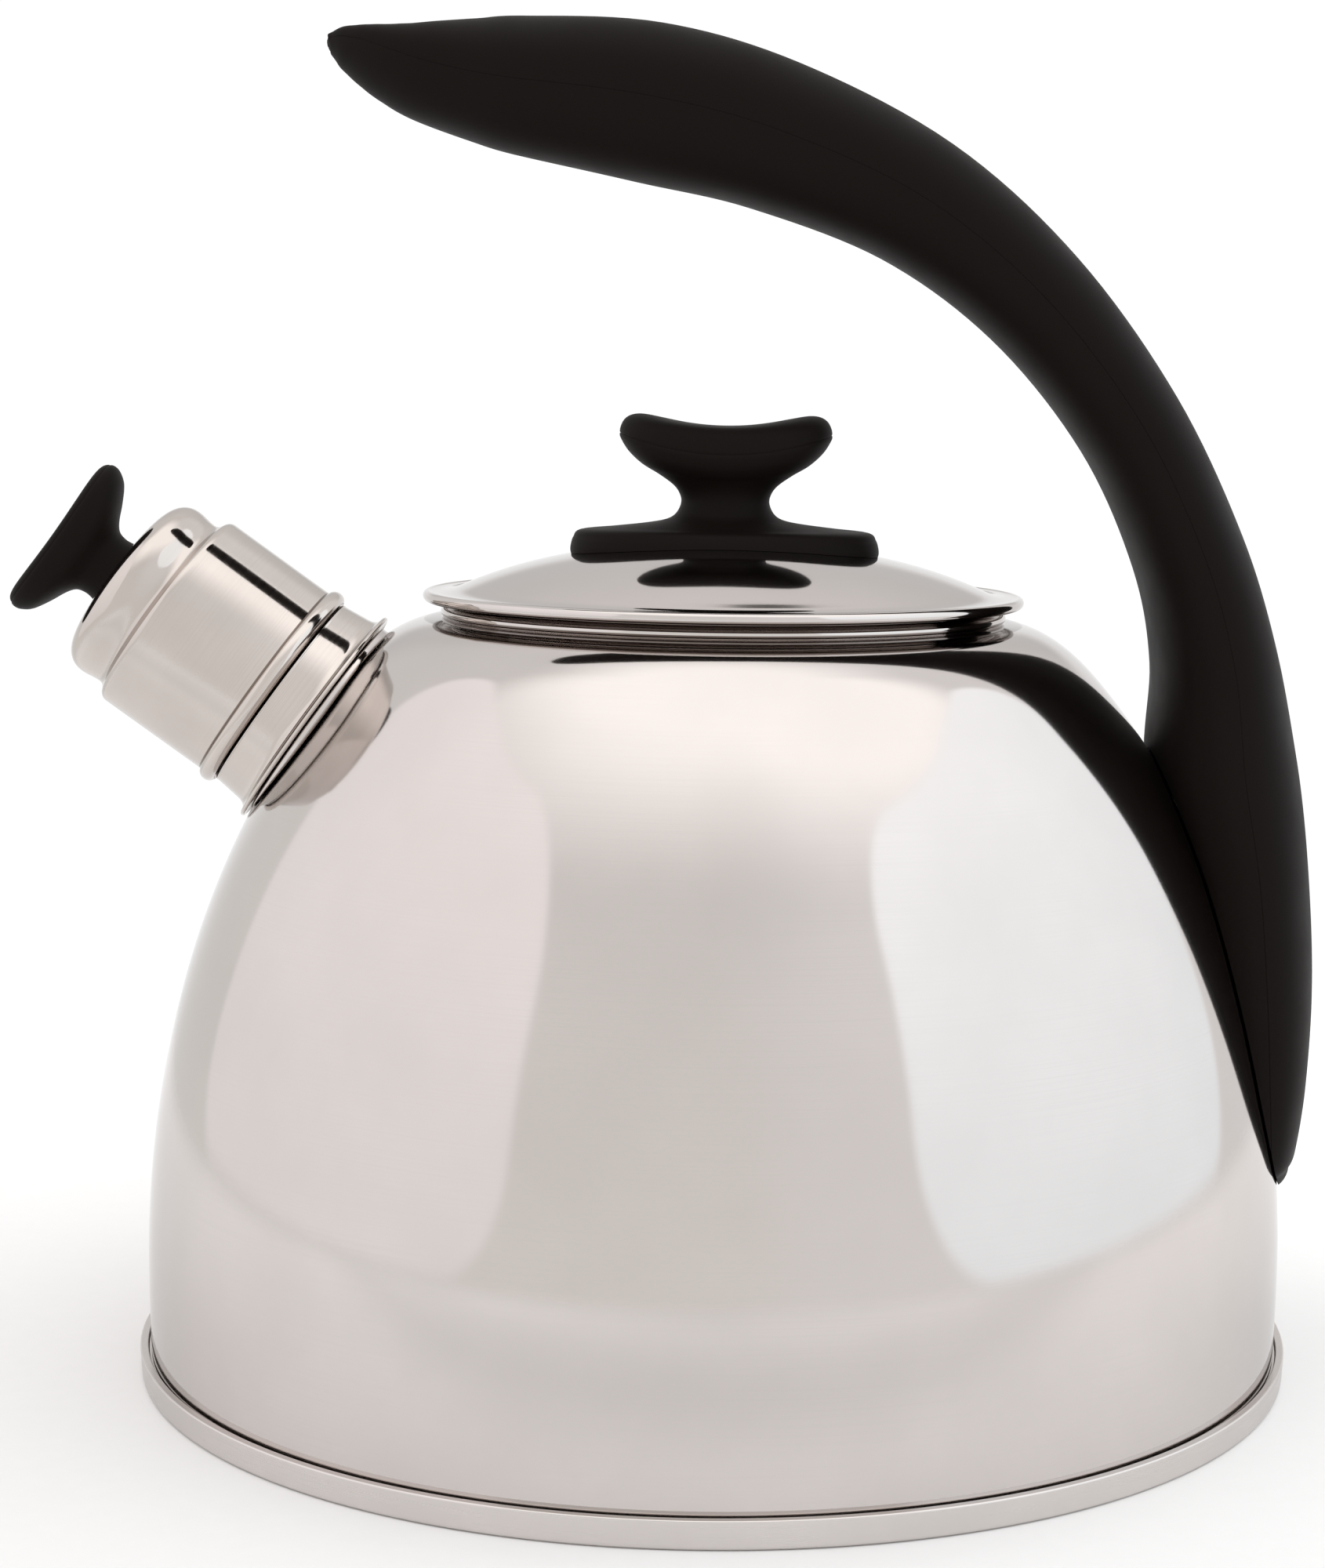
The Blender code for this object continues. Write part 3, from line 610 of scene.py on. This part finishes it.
def make_handle():
    """The long moulding, hollowed for the body, the bracket, the bosses and the screws."""
    grip = loft("handle_skin", handle_rings(), crease=25.0)
    tools = [body_clearance(), sector_tool("bracket_pocket", body_band(*POCKET), POCKET_HALF_ANGLE)]
    outside = BASE_RADIUS + 12.0
    for boss_end, seat, wall_x, turn in handle_screw_places():
        boss_room = boss_end + BOSS_ROOM_GAP
        stepped = [(0.0, wall_x - 2.0), (BOSS_ROOM_RADIUS, wall_x - 2.0), (BOSS_ROOM_RADIUS, boss_room),
                   (SCREW_HOLE_RADIUS, boss_room), (SCREW_HOLE_RADIUS, seat), (SCREW_ROOM_RADIUS, seat),
                   (SCREW_ROOM_RADIUS, outside), (0.0, outside)]
        tools.append(lathe("screw_room", stepped, 60, turn))
    for tool in tools:
        cut(grip, tool)
    return grip


def crossing(outline, height):
    """The radius where an outline that runs downwards passes a height."""
    for first, second in zip(outline, outline[1:]):
        if first[1] >= height >= second[1]:
            share = (first[1] - height) / (first[1] - second[1])
            return first[0] + share * (second[0] - first[0])
    raise ValueError("height is outside the outline")


def body_band(clear_from, clear_to, low, high):
    """A strip that follows the body's wall, between two distances from it and two heights."""
    full = body_outline(OUTLINE_STEPS)
    line = ([(crossing(full, high), high)] + [p for p in full if low < p[1] < high]
            + [(crossing(full, low), low)])
    return offset_open(line, clear_to) + offset_open(line, clear_from)[::-1]


def body_clearance():
    """A solid a little larger than the body, to cut its room out of the handle."""
    body = offset_open(body_outline(OUTLINE_STEPS), FIT_GAP)
    return lathe("body_clearance", [(0.0, body[0][1])] + body + [(0.0, body[-1][1])], ROUND_STEPS)


def sector_tool(name, outline, half_angle, steps=8):
    """Sweeps a closed (radius, height) outline through a small angle about +X."""
    count = len(outline)
    rings = []
    for step in range(steps + 1):
        angle = math.radians(half_angle * (2 * step / steps - 1))
        rings.append([(r * math.cos(angle), r * math.sin(angle), z) for r, z in outline])
    vertices = [vertex for ring in rings for vertex in ring]
    faces = [list(range(count)), list(range(steps * count, (steps + 1) * count))]
    for index in range(steps):
        for point in range(count):
            after = (point + 1) % count
            faces.append([index * count + point, index * count + after,
                          (index + 1) * count + after, (index + 1) * count + point])
    return new_object(name, finished_mesh(name, vertices, faces))


def screw_piece(name, shank_end, seat, matrix):
    """A pan-head machine screw with a cross recess in its head."""
    radius = SCREW_HEAD_RADIUS
    top = seat + SCREW_HEAD_HEIGHT
    corners = [(0.0, shank_end, 0.0), (1.5, shank_end, 0.1), (2.0, shank_end + 0.6, 0.1), (2.0, seat, 0.0),
               (radius, seat, 0.15), (radius, top - 0.6, 0.5), (radius * 0.72, top, 0.9), (0.0, top, 0.0)]
    screw = lathe(name, rounded(corners), 48, matrix)
    half_long, half_thin, recess_depth = radius * 0.52, 0.42, 1.3
    square = ((-1, -1), (1, -1), (1, 1), (-1, 1))
    rings = []
    for height, scale in ((top - recess_depth, 0.35), (top + 0.5, 1.15)):
        rings.append([(half_long * scale * x, half_thin * (0.6 + 0.4 * scale) * y, height)
                      for x, y in square])
    tools = [loft("recess", rings, matrix @ Matrix.Rotation(turn, 4, "Z")) for turn in (0.0, math.pi / 2)]
    cut(screw, *tools)
    return screw


def make_handle_screws():
    """The upper and the lower handle screw."""
    pieces = []
    for name, (_, seat, wall_x, turn) in zip(("upper", "lower"), handle_screw_places()):
        pieces.append(screw_piece("handle_screw_%s_skin" % name, wall_x + 1.0, seat + FIT_GAP, turn))
    return pieces


# ---------------------------------------------------------------- lid pieces

def lid_dome(count):
    """The lid's outer outline from its top down to the start of its flange."""
    return slope_curve((0.0, LID_TOP), 3.0, 19.0, (46.3, 136.8), 24.0, 15.0, count)


def make_lid():
    """The domed lid with its flange, rolled rim and screw hole."""
    hole = SCREW_PASSAGE_RADIUS
    dome = [(hole, LID_TOP - 0.1)] + [p for p in lid_dome(48) if p[0] > hole + 0.3]
    foot = bezier((46.3, 136.8), (47.2, 136.4), (48.0, 136.22), (49.4, 136.1), 8)
    rise = bezier((49.4, 136.1), (50.3, 136.05), (50.8, 136.1), (51.25, 136.15), 6)
    rim = arc((51.72, 135.32), 0.95, 112.0, -170.0, 26)
    under = [(50.6, 135.45), (49.4, 135.45), (48.0, 135.55)]
    inner = offset_open(dome, -0.7)[::-1]
    inner[-1] = (hole, inner[-1][1])
    return lathe("lid_skin", dome + foot + rise + rim + under + inner, ROUND_STEPS, crease=60.0)


def make_lid_skirt():
    """The plug ring under the lid."""
    corners = [(46.2, 135.3, 0.1), (46.8, 135.3, 0.25), (46.8, 125.3, 0.4), (46.2, 124.5, 0.3),
               (45.8, 125.1, 0.2), (46.2, 125.9, 0.4)]
    return lathe("lid_skirt_skin", rounded(corners), 200)


# Lid knob from foot to head: half length, half width, height on the axis, rise at the ends
LID_KNOB_SECTIONS = [
    (26.4, 14.4, 141.0, 0.0),
    (27.0, 14.9, 142.9, 0.0),
    (27.1, 15.0, 143.6, 0.0),
    (27.0, 14.9, 144.4, 0.0),
    (26.6, 14.5, 145.6, 0.0),
    (25.4, 13.6, 146.9, 0.0),
    (20.0, 11.6, 147.5, 0.0),
    (14.0, 9.9, 148.2, 0.0),
    (10.4, 8.7, 148.9, 0.0),
    (8.7, 7.8, 149.9, 0.0),
    (7.8, 7.2, 151.6, 0.0),
    (7.9, 7.2, 153.0, 0.1),
    (9.0, 7.7, 154.4, 0.4),
    (11.6, 8.6, 155.7, 1.0),
    (14.6, 9.7, 156.7, 1.8),
    (17.0, 10.7, 158.0, 2.7),
    (18.4, 11.2, 159.4, 3.5),
    (18.6, 11.25, 160.4, 3.5),
    (18.4, 11.0, 161.9, 3.2),
    (17.7, 10.4, 163.6, 2.7),
    (16.4, 9.2, 164.8, 2.25),
    (14.4, 7.6, 165.2, 2.0),
    (11.0, 5.6, 165.25, 1.35),
    (7.0, 3.4, 165.3, 0.5),
    (2.0, 1.0, 165.3, 0.03),
]


def knob_rings(sections, per_span, segments, seam, seam_depth):
    """Rings through the sections, with a fine groove pressed in at the seam section."""
    rows = catmull_rom(sections, per_span)
    rings = []
    for index, (half_x, half_y, height, rise) in enumerate(rows):
        pinch = seam_depth if index == seam * per_span else 0.0
        rings.append([(x, y, height + rise * (x / half_x) ** 2)
                      for x, y in superellipse(half_x - pinch, half_y - pinch, 2.2, segments)])
    return rings


def make_lid_knob():
    """The lid knob, with its foot shaped to the dome and a bore for its insert."""
    rings = knob_rings(LID_KNOB_SECTIONS, per_span=5, segments=96, seam=17, seam_depth=0.12)
    knob = loft("lid_knob_skin", rings, crease=28.0)
    dome = offset_open([(0.0, LID_TOP)] + lid_dome(40), KNOB_GAP)
    clearance = lathe("dome_clearance", [(0.0, 130.0)] + dome + [(dome[-1][0], 130.0)], 160)
    bore = cylinder("knob_bore", INSERT_BORE_RADIUS, 140.0, 158.0, 48)
    cut(knob, clearance, bore)
    return knob


# ---------------------------------------------------------------- whistle pieces

def cap_outline():
    """The whistle cap's outer outline along the spout's axis, from the bead to the end face."""
    bead = [(18.95 + 1.25 * r, 8.95 + 1.5 * s) for r, s in arc((0.0, 0.0), 1.0, -80.0, 80.0, 18)]
    neck = [(WHISTLE_RADIUS, 10.6)]
    shoulder = arc((WHISTLE_RADIUS - 1.5, 30.6), 1.5, 0.0, 72.0, 9)
    step = bezier(shoulder[-1], (17.45, 32.35), (16.95, 32.7), (16.87, 33.5), 6)
    bulge = bezier((16.87, 33.5), (16.9, 35.0), (17.25, 35.6), (17.25, 37.0), 6)
    dome = bezier((17.25, 37.0), (17.25, 40.2), (14.4, WHISTLE_LENGTH), (10.4, WHISTLE_LENGTH), 14)
    return bead + neck + shoulder + step + bulge + dome


def make_cap():
    """The whistle cap with its screw hole and four vents in the end face."""
    outer = cap_outline()
    hole = SCREW_PASSAGE_RADIUS
    inner = offset_open(outer, WHISTLE_WALL)
    outer_end = [(8.0, WHISTLE_LENGTH), (hole, WHISTLE_LENGTH)]
    inner_end = [(hole, WHISTLE_LENGTH - WHISTLE_WALL), (8.0, WHISTLE_LENGTH - WHISTLE_WALL)]
    outline = outer + outer_end + inner_end + inner[::-1]
    cap = lathe("whistle_cap_skin", outline, 192, SPOUT, crease=50.0)
    vents = []
    vent_circle = 8.4
    for index in range(4):
        angle = math.pi / 4 + index * math.pi / 2
        centre = Vector((vent_circle * math.cos(angle), vent_circle * math.sin(angle), 0.0))
        place = SPOUT @ Matrix.Translation(centre * MM)
        vents.append(cylinder("vent", 1.3, WHISTLE_LENGTH - 3.0, WHISTLE_LENGTH + 3.0, 32, place))
    cut(cap, *vents)
    return cap


def make_sleeve():
    """The sleeve under the bead, with its flared and rolled rim."""
    rolled_rim = arc((21.1, -0.12), 0.4, -115.0, 95.0, 14)
    fillet = bezier(rolled_rim[-1], (20.2, 0.34), (19.5, 0.9), (19.35, 2.3), 10)
    wall = rounded([(19.15, 7.1, 0.3), (17.75, 7.35, 0.2), (17.75, 17.3, 0.15), (17.45, 17.6, 0.1),
                    (17.45, 6.8, 0.4), (18.5, 6.4, 0.4)], 6)
    inside = bezier((18.75, 1.9), (18.75, 0.5), (19.5, -0.1), (20.4, -0.2), 8)
    return lathe("whistle_sleeve_skin", rolled_rim + fillet + wall + inside, 192, SPOUT, crease=50.0)


# Whistle knob from stem to face: half length, half width, distance on the axis, rise at the ends
WHISTLE_KNOB_SECTIONS = [
    (6.2, 6.2, 42.1, 0.0),
    (5.9, 5.9, 43.2, 0.0),
    (5.8, 5.8, 44.6, 0.0),
    (6.3, 6.1, 46.2, 0.0),
    (8.0, 6.7, 47.3, 0.2),
    (11.0, 7.4, 48.3, 0.6),
    (13.6, 7.9, 49.4, 1.0),
    (14.8, 8.2, 50.7, 1.2),
    (15.15, 8.25, 52.0, 1.0),
    (14.9, 7.9, 53.1, 0.9),
    (14.0, 7.1, 54.0, 0.85),
    (12.0, 5.6, 54.35, 0.75),
    (8.5, 3.8, 54.4, 0.4),
    (4.0, 1.8, 54.4, 0.1),
    (1.0, 0.5, 54.4, 0.0),
]


def make_whistle_knob():
    """The whistle knob with a bore for its insert."""
    rings = knob_rings(WHISTLE_KNOB_SECTIONS, per_span=5, segments=80, seam=9, seam_depth=0.1)
    knob = loft("whistle_knob_skin", rings, SPOUT, crease=28.0)
    cut(knob, cylinder("whistle_bore", INSERT_BORE_RADIUS, 39.0, 51.0, 48, SPOUT))
    return knob


# ---------------------------------------------------------------- studio

def srgb(red, green, blue):
    """A linear colour from 0-255 display values."""
    def linear(value):
        value /= 255.0
        return value / 12.92 if value <= 0.04045 else ((value + 0.055) / 1.055) ** 2.4
    return (linear(red), linear(green), linear(blue), 1.0)


def grey(value):
    """A colour with equal parts of red, green and blue."""
    return (value, value, value, 1.0)


def seen_in_steel(red, green, blue):
    """The light that the bright steel shows as the given display values."""
    return tuple(light / share for light, share in zip(srgb(red, green, blue), (*STEEL, 1.0)))


def choose(nodes, condition, if_true, if_false):
    """if_true where condition is 1, if_false where it is 0."""
    return nodes.remap(condition, 0.0, 1.0, if_false, if_true)


def past_edge(nodes, offset, half_size, radius):
    """How far an offset from a panel's middle is past the straight part of its edge."""
    return nodes.math("ADD", nodes.math("SUBTRACT", nodes.math("ABSOLUTE", offset), half_size), radius)


def panel_mask(nodes, azimuth, elevation, box, corners):
    """1 inside a softly edged panel seen in the given direction, 0 outside.

    box is the lowest and highest azimuth and elevation, corners the rounding of the low-azimuth
    and high-azimuth corners at the bottom and at the top, all in degrees.
    """
    left, right, bottom, top = box
    bottom_left, bottom_right, top_left, top_right = corners
    across = nodes.math("SUBTRACT", azimuth, (left + right) / 2)
    upward = nodes.math("SUBTRACT", elevation, (bottom + top) / 2)
    on_right = nodes.math("GREATER_THAN", across, 0.0)
    on_top = nodes.math("GREATER_THAN", upward, 0.0)
    radius = choose(nodes, on_top, choose(nodes, on_right, top_right, top_left),
                    choose(nodes, on_right, bottom_right, bottom_left))
    reach_x = past_edge(nodes, across, (right - left) / 2, radius)
    reach_y = past_edge(nodes, upward, (top - bottom) / 2, radius)
    outside = nodes.add("ShaderNodeCombineXYZ", {"X": nodes.math("MAXIMUM", reach_x, 0.0),
                                                 "Y": nodes.math("MAXIMUM", reach_y, 0.0)})
    inside = nodes.math("MINIMUM", nodes.math("MAXIMUM", reach_x, reach_y), 0.0)
    distance = nodes.math("SUBTRACT", nodes.math("ADD", nodes.length(outside.outputs[0]), inside), radius)
    return nodes.remap(distance, -1.3, 1.0, 1.0, 0.0, smooth=True)


def tent_walls(nodes, azimuth, elevation, turned_away):
    """The calm walls between the panels, and the backdrop behind the kettle."""
    wall = nodes.mix(nodes.remap(elevation, -5.0, 45.0, 0.0, 1.0),
                     seen_in_steel(204, 197, 192), seen_in_steel(201, 194, 190))
    to_right = nodes.remap(azimuth, -5.0, 38.0, 0.0, 1.0, smooth=True)
    wall = nodes.mix(to_right, wall, seen_in_steel(210, 203, 200))
    backdrop = nodes.mix(nodes.remap(elevation, 8.0, 15.0, 0.0, 1.0, smooth=True),
                         WHITE, seen_in_steel(188, 181, 177))
    backdrop = nodes.mix(nodes.remap(elevation, 15.0, 48.0, 0.0, 1.0), backdrop, seen_in_steel(203, 195, 191))
    return nodes.mix(nodes.remap(turned_away, 146.0, 162.0, 0.0, 1.0, smooth=True), wall, backdrop)


def tent_overhead(nodes, azimuth, elevation, turned_away):
    """1 in the bright overhead and 0 below it. It begins lower at the sides than at the camera."""
    to_right = nodes.remap(azimuth, 0.0, 90.0, 0.0, 1.0, smooth=True)
    to_left = nodes.remap(azimuth, 0.0, -90.0, 0.0, 1.0, smooth=True)
    behind = nodes.remap(turned_away, 100.0, 130.0, 0.0, 1.0, smooth=True)
    start = nodes.math("SUBTRACT", nodes.remap(to_right, 0.0, 1.0, 41.0, 30.0),
                       nodes.math("MULTIPLY", to_left, 8.0))
    width = nodes.math("ADD", nodes.remap(to_right, 0.0, 1.0, 34.0, 26.0),
                       nodes.math("MULTIPLY", to_left, 4.0))
    start = nodes.remap(behind, 0.0, 1.0, start, 55.0)
    width = nodes.remap(behind, 0.0, 1.0, width, 22.0)
    rise = nodes.math("DIVIDE", nodes.math("SUBTRACT", elevation, start), width)
    return nodes.remap(rise, 0.0, 1.0, 0.0, 1.0, smooth=True)


def add_panels(nodes, sky, azimuth, elevation):
    """Lays the two large panels beside the camera over the sky."""
    height = nodes.remap(elevation, -7.0, 51.0, 0.0, 1.0)
    left_glow = nodes.mix(height, seen_in_steel(217, 209, 206), seen_in_steel(232, 222, 219))
    right_glow = nodes.mix(height, seen_in_steel(226, 225, 225), seen_in_steel(244, 241, 240))
    for glow, box, corners in (
            (left_glow, (-126.7, -41.0, -6.8, 51.0), (7.5, 14.0, 11.0, 27.0)),
            (right_glow, (39.3, 125.5, -7.0, 51.0), (17.0, 10.0, 18.0, 12.0))):
        sky = nodes.mix(panel_mask(nodes, azimuth, elevation, box, corners), sky, glow)
    return sky


def make_world():
    """A soft tent: bright overhead, two large panels beside the camera and calm walls between."""
    world = bpy.data.worlds.new("studio")
    world.use_nodes = True
    bpy.context.scene.world = world
    nodes = Nodes(world.node_tree)
    ray = nodes.add("ShaderNodeTexCoord").outputs["Generated"]
    x, y, z = nodes.add("ShaderNodeSeparateXYZ", {"Vector": ray}).outputs
    elevation = nodes.math("DEGREES", nodes.math("ARCSINE", z))
    azimuth = nodes.math("DEGREES", nodes.math("ARCTAN2", x, nodes.math("MULTIPLY", y, -1.0)))
    turned_away = nodes.math("ABSOLUTE", azimuth)

    walls = tent_walls(nodes, azimuth, elevation, turned_away)
    overhead = tent_overhead(nodes, azimuth, elevation, turned_away)
    sky = nodes.mix(overhead, walls, seen_in_steel(254, 245, 240))
    sky = add_panels(nodes, sky, azimuth, elevation)
    below = nodes.remap(elevation, -10.0, -30.0, 0.0, 1.0, smooth=True)
    background = world.node_tree.nodes["Background"]
    world.node_tree.links.new(nodes.mix(below, sky, WHITE), background.inputs["Color"])
    background.inputs["Strength"].default_value = 1.0


def floor_tone(nodes, place, depth):
    """The paper's colour, faintly fibrous, with painted shade that makes it a little darker towards the
    camera.
    """
    fibre = nodes.noise(place, 240.0, 3.0, 0.6)
    paper = nodes.mix(fibre, grey(0.865), grey(0.89))
    # painted shade: the paper is darker towards the camera
    front_shade = nodes.mix(nodes.remap(depth, -0.29, -0.19, 0.0, 1.0, smooth=True), grey(0.84), grey(0.78))
    return nodes.mix(nodes.remap(depth, -0.18, -0.11, 0.0, 1.0, smooth=True), front_shade, paper)


def painted_floor_light(nodes, side, depth):
    """Painted light: the paper glows faintly, more at the back, on the right and at the front left."""
    glow = nodes.math("ADD", nodes.remap(depth, -0.16, 0.30, 0.0, 0.12),
                      nodes.remap(side, 0.02, 0.20, 0.0, 0.09))
    front_left = nodes.math("MULTIPLY", nodes.remap(side, -0.02, -0.20, 0.0, 0.10),
                            nodes.remap(depth, -0.08, -0.20, 0.0, 1.0))
    return nodes.math("ADD", glow, front_left)


def make_floor():
    """A round sheet of pale paper that fades into the white below the horizon."""
    material, nodes, shader = new_material("paper_floor")
    place = nodes.add("ShaderNodeTexCoord").outputs["Object"]
    side, depth, _ = nodes.add("ShaderNodeSeparateXYZ", {"Vector": place}).outputs
    fade = nodes.remap(nodes.length(place), 0.30, 0.46, 1.0, 0.0, smooth=True)
    links = material.node_tree.links
    links.new(floor_tone(nodes, place, depth), shader.inputs["Base Color"])
    links.new(fade, shader.inputs["Alpha"])
    # painted light: the paper's emission brightens it unevenly
    links.new(painted_floor_light(nodes, side, depth), shader.inputs["Emission Strength"])
    shader.inputs["Emission Color"].default_value = grey(1.0)
    shader.inputs["Roughness"].default_value = 0.9
    shader.inputs["Specular IOR Level"].default_value = 0.0
    radius, level, count = 470.0, -0.05, 96
    angles = [2 * math.pi * step / count for step in range(count)]
    rim = [(radius * math.cos(angle), radius * math.sin(angle), level) for angle in angles]
    mesh = finished_mesh("floor", rim, [list(range(count))])
    floor = new_object("floor", mesh)
    mesh.materials.append(material)


def make_camera():
    """The camera in front of the kettle, a little above it. Angles are in radians."""
    pitch, roll, yaw = 0.12882, 0.01588, 0.02388
    place = (0.0, -0.54244, 0.17259)
    forward = Vector((math.sin(yaw) * math.cos(pitch), math.cos(yaw) * math.cos(pitch), -math.sin(pitch)))
    level_right = Vector((math.cos(yaw), -math.sin(yaw), 0.0))
    level_up = level_right.cross(forward)
    right = level_right * math.cos(roll) + level_up * math.sin(roll)
    up = level_up * math.cos(roll) - level_right * math.sin(roll)
    rotation = Matrix((right, up, -forward)).transposed().to_4x4()
    data = bpy.data.cameras.new("camera")
    data.lens = 70.75
    data.sensor_width = 36.0
    data.shift_x = -0.0843
    data.clip_start = 0.01
    data.clip_end = 50.0
    camera = new_object("camera", data, Matrix.Translation(place) @ rotation)
    bpy.context.scene.camera = camera


# ---------------------------------------------------------------- assembly

def dress(piece, material, body, slot, *nodes):
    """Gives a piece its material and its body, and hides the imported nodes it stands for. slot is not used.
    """
    piece.data.materials.clear()
    piece.data.materials.append(material)
    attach(piece, body)
    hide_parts(*nodes)


def dress_node(name, material):
    """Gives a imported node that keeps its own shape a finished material."""
    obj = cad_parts[name]
    obj.data.materials.clear()
    obj.data.materials.append(material)


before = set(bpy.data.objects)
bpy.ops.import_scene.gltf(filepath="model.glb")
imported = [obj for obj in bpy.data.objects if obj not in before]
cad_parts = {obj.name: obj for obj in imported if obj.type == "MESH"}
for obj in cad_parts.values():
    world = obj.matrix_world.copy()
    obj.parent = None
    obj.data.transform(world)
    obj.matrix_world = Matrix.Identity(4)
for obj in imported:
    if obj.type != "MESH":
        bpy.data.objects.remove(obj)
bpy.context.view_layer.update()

mirror = turned_steel("mirror_steel", STEEL, roughness=0.07, spread=0.012, streak_depth=0.0000001,
                      seams=NECK_SEAM_SHADE)
brushed = turned_steel("brushed_steel", BRUSHED_STEEL, roughness=0.09, spread=0.03, streak_depth=0.0000001,
                       seams=WHISTLE_SEAM_SHADE, dulled=0.88)
satin = turned_steel("satin_steel", SATIN_STEEL, roughness=0.24, spread=0.05, streak_depth=0.000001,
                     anisotropy=0.3)
plastic = moulded_plastic("black_plastic", BLACK_PLASTIC)
screw_metal = plain_metal("screw_steel", SCREW_STEEL, roughness=0.32)
aluminium = plain_metal("aluminium", ALUMINIUM, roughness=0.45)
brass = plain_metal("brass", BRASS, roughness=0.34)

dress(make_body(), mirror, "kettle", "mirror_steel", "body_shell")
dress(make_base_cap(), satin, "kettle", "satin_steel", "base_cap")
dress(make_spout(), mirror, "kettle", "mirror_steel", "spout_tube")
dress(make_handle(), plastic, "kettle", "black_plastic", "handle_grip")
for screw, node in zip(make_handle_screws(), ("handle_screw_upper", "handle_screw_lower")):
    dress(screw, screw_metal, "kettle", "screw_steel", node)

dress(make_lid(), mirror, "lid", "mirror_steel", "lid_shell")
dress(make_lid_skirt(), satin, "lid", "satin_steel", "lid_skirt")
dress(make_lid_knob(), plastic, "lid", "black_plastic", "lid_knob")

dress(make_cap(), brushed, "whistle", "mirror_steel", "whistle_cap_shell")
dress(make_sleeve(), brushed, "whistle", "mirror_steel", "whistle_sleeve")
dress(make_whistle_knob(), plastic, "whistle", "black_plastic", "whistle_knob")

for node in ("floor_pan", "handle_bracket"):
    dress_node(node, satin)
for node in ("lid_knob_screw", "lid_knob_washer", "whistle_retaining_ring", "whistle_knob_screw",
             "whistle_knob_washer"):
    dress_node(node, screw_metal)
for node in ("lid_knob_insert", "whistle_inner_disc", "whistle_outer_disc", "whistle_disc_spacer",
             "whistle_knob_insert"):
    dress_node(node, brass)
dress_node("heat_spreader_disc", aluminium)

make_world()
make_floor()
make_camera()
bpy.context.scene.view_settings.view_transform = "Standard"
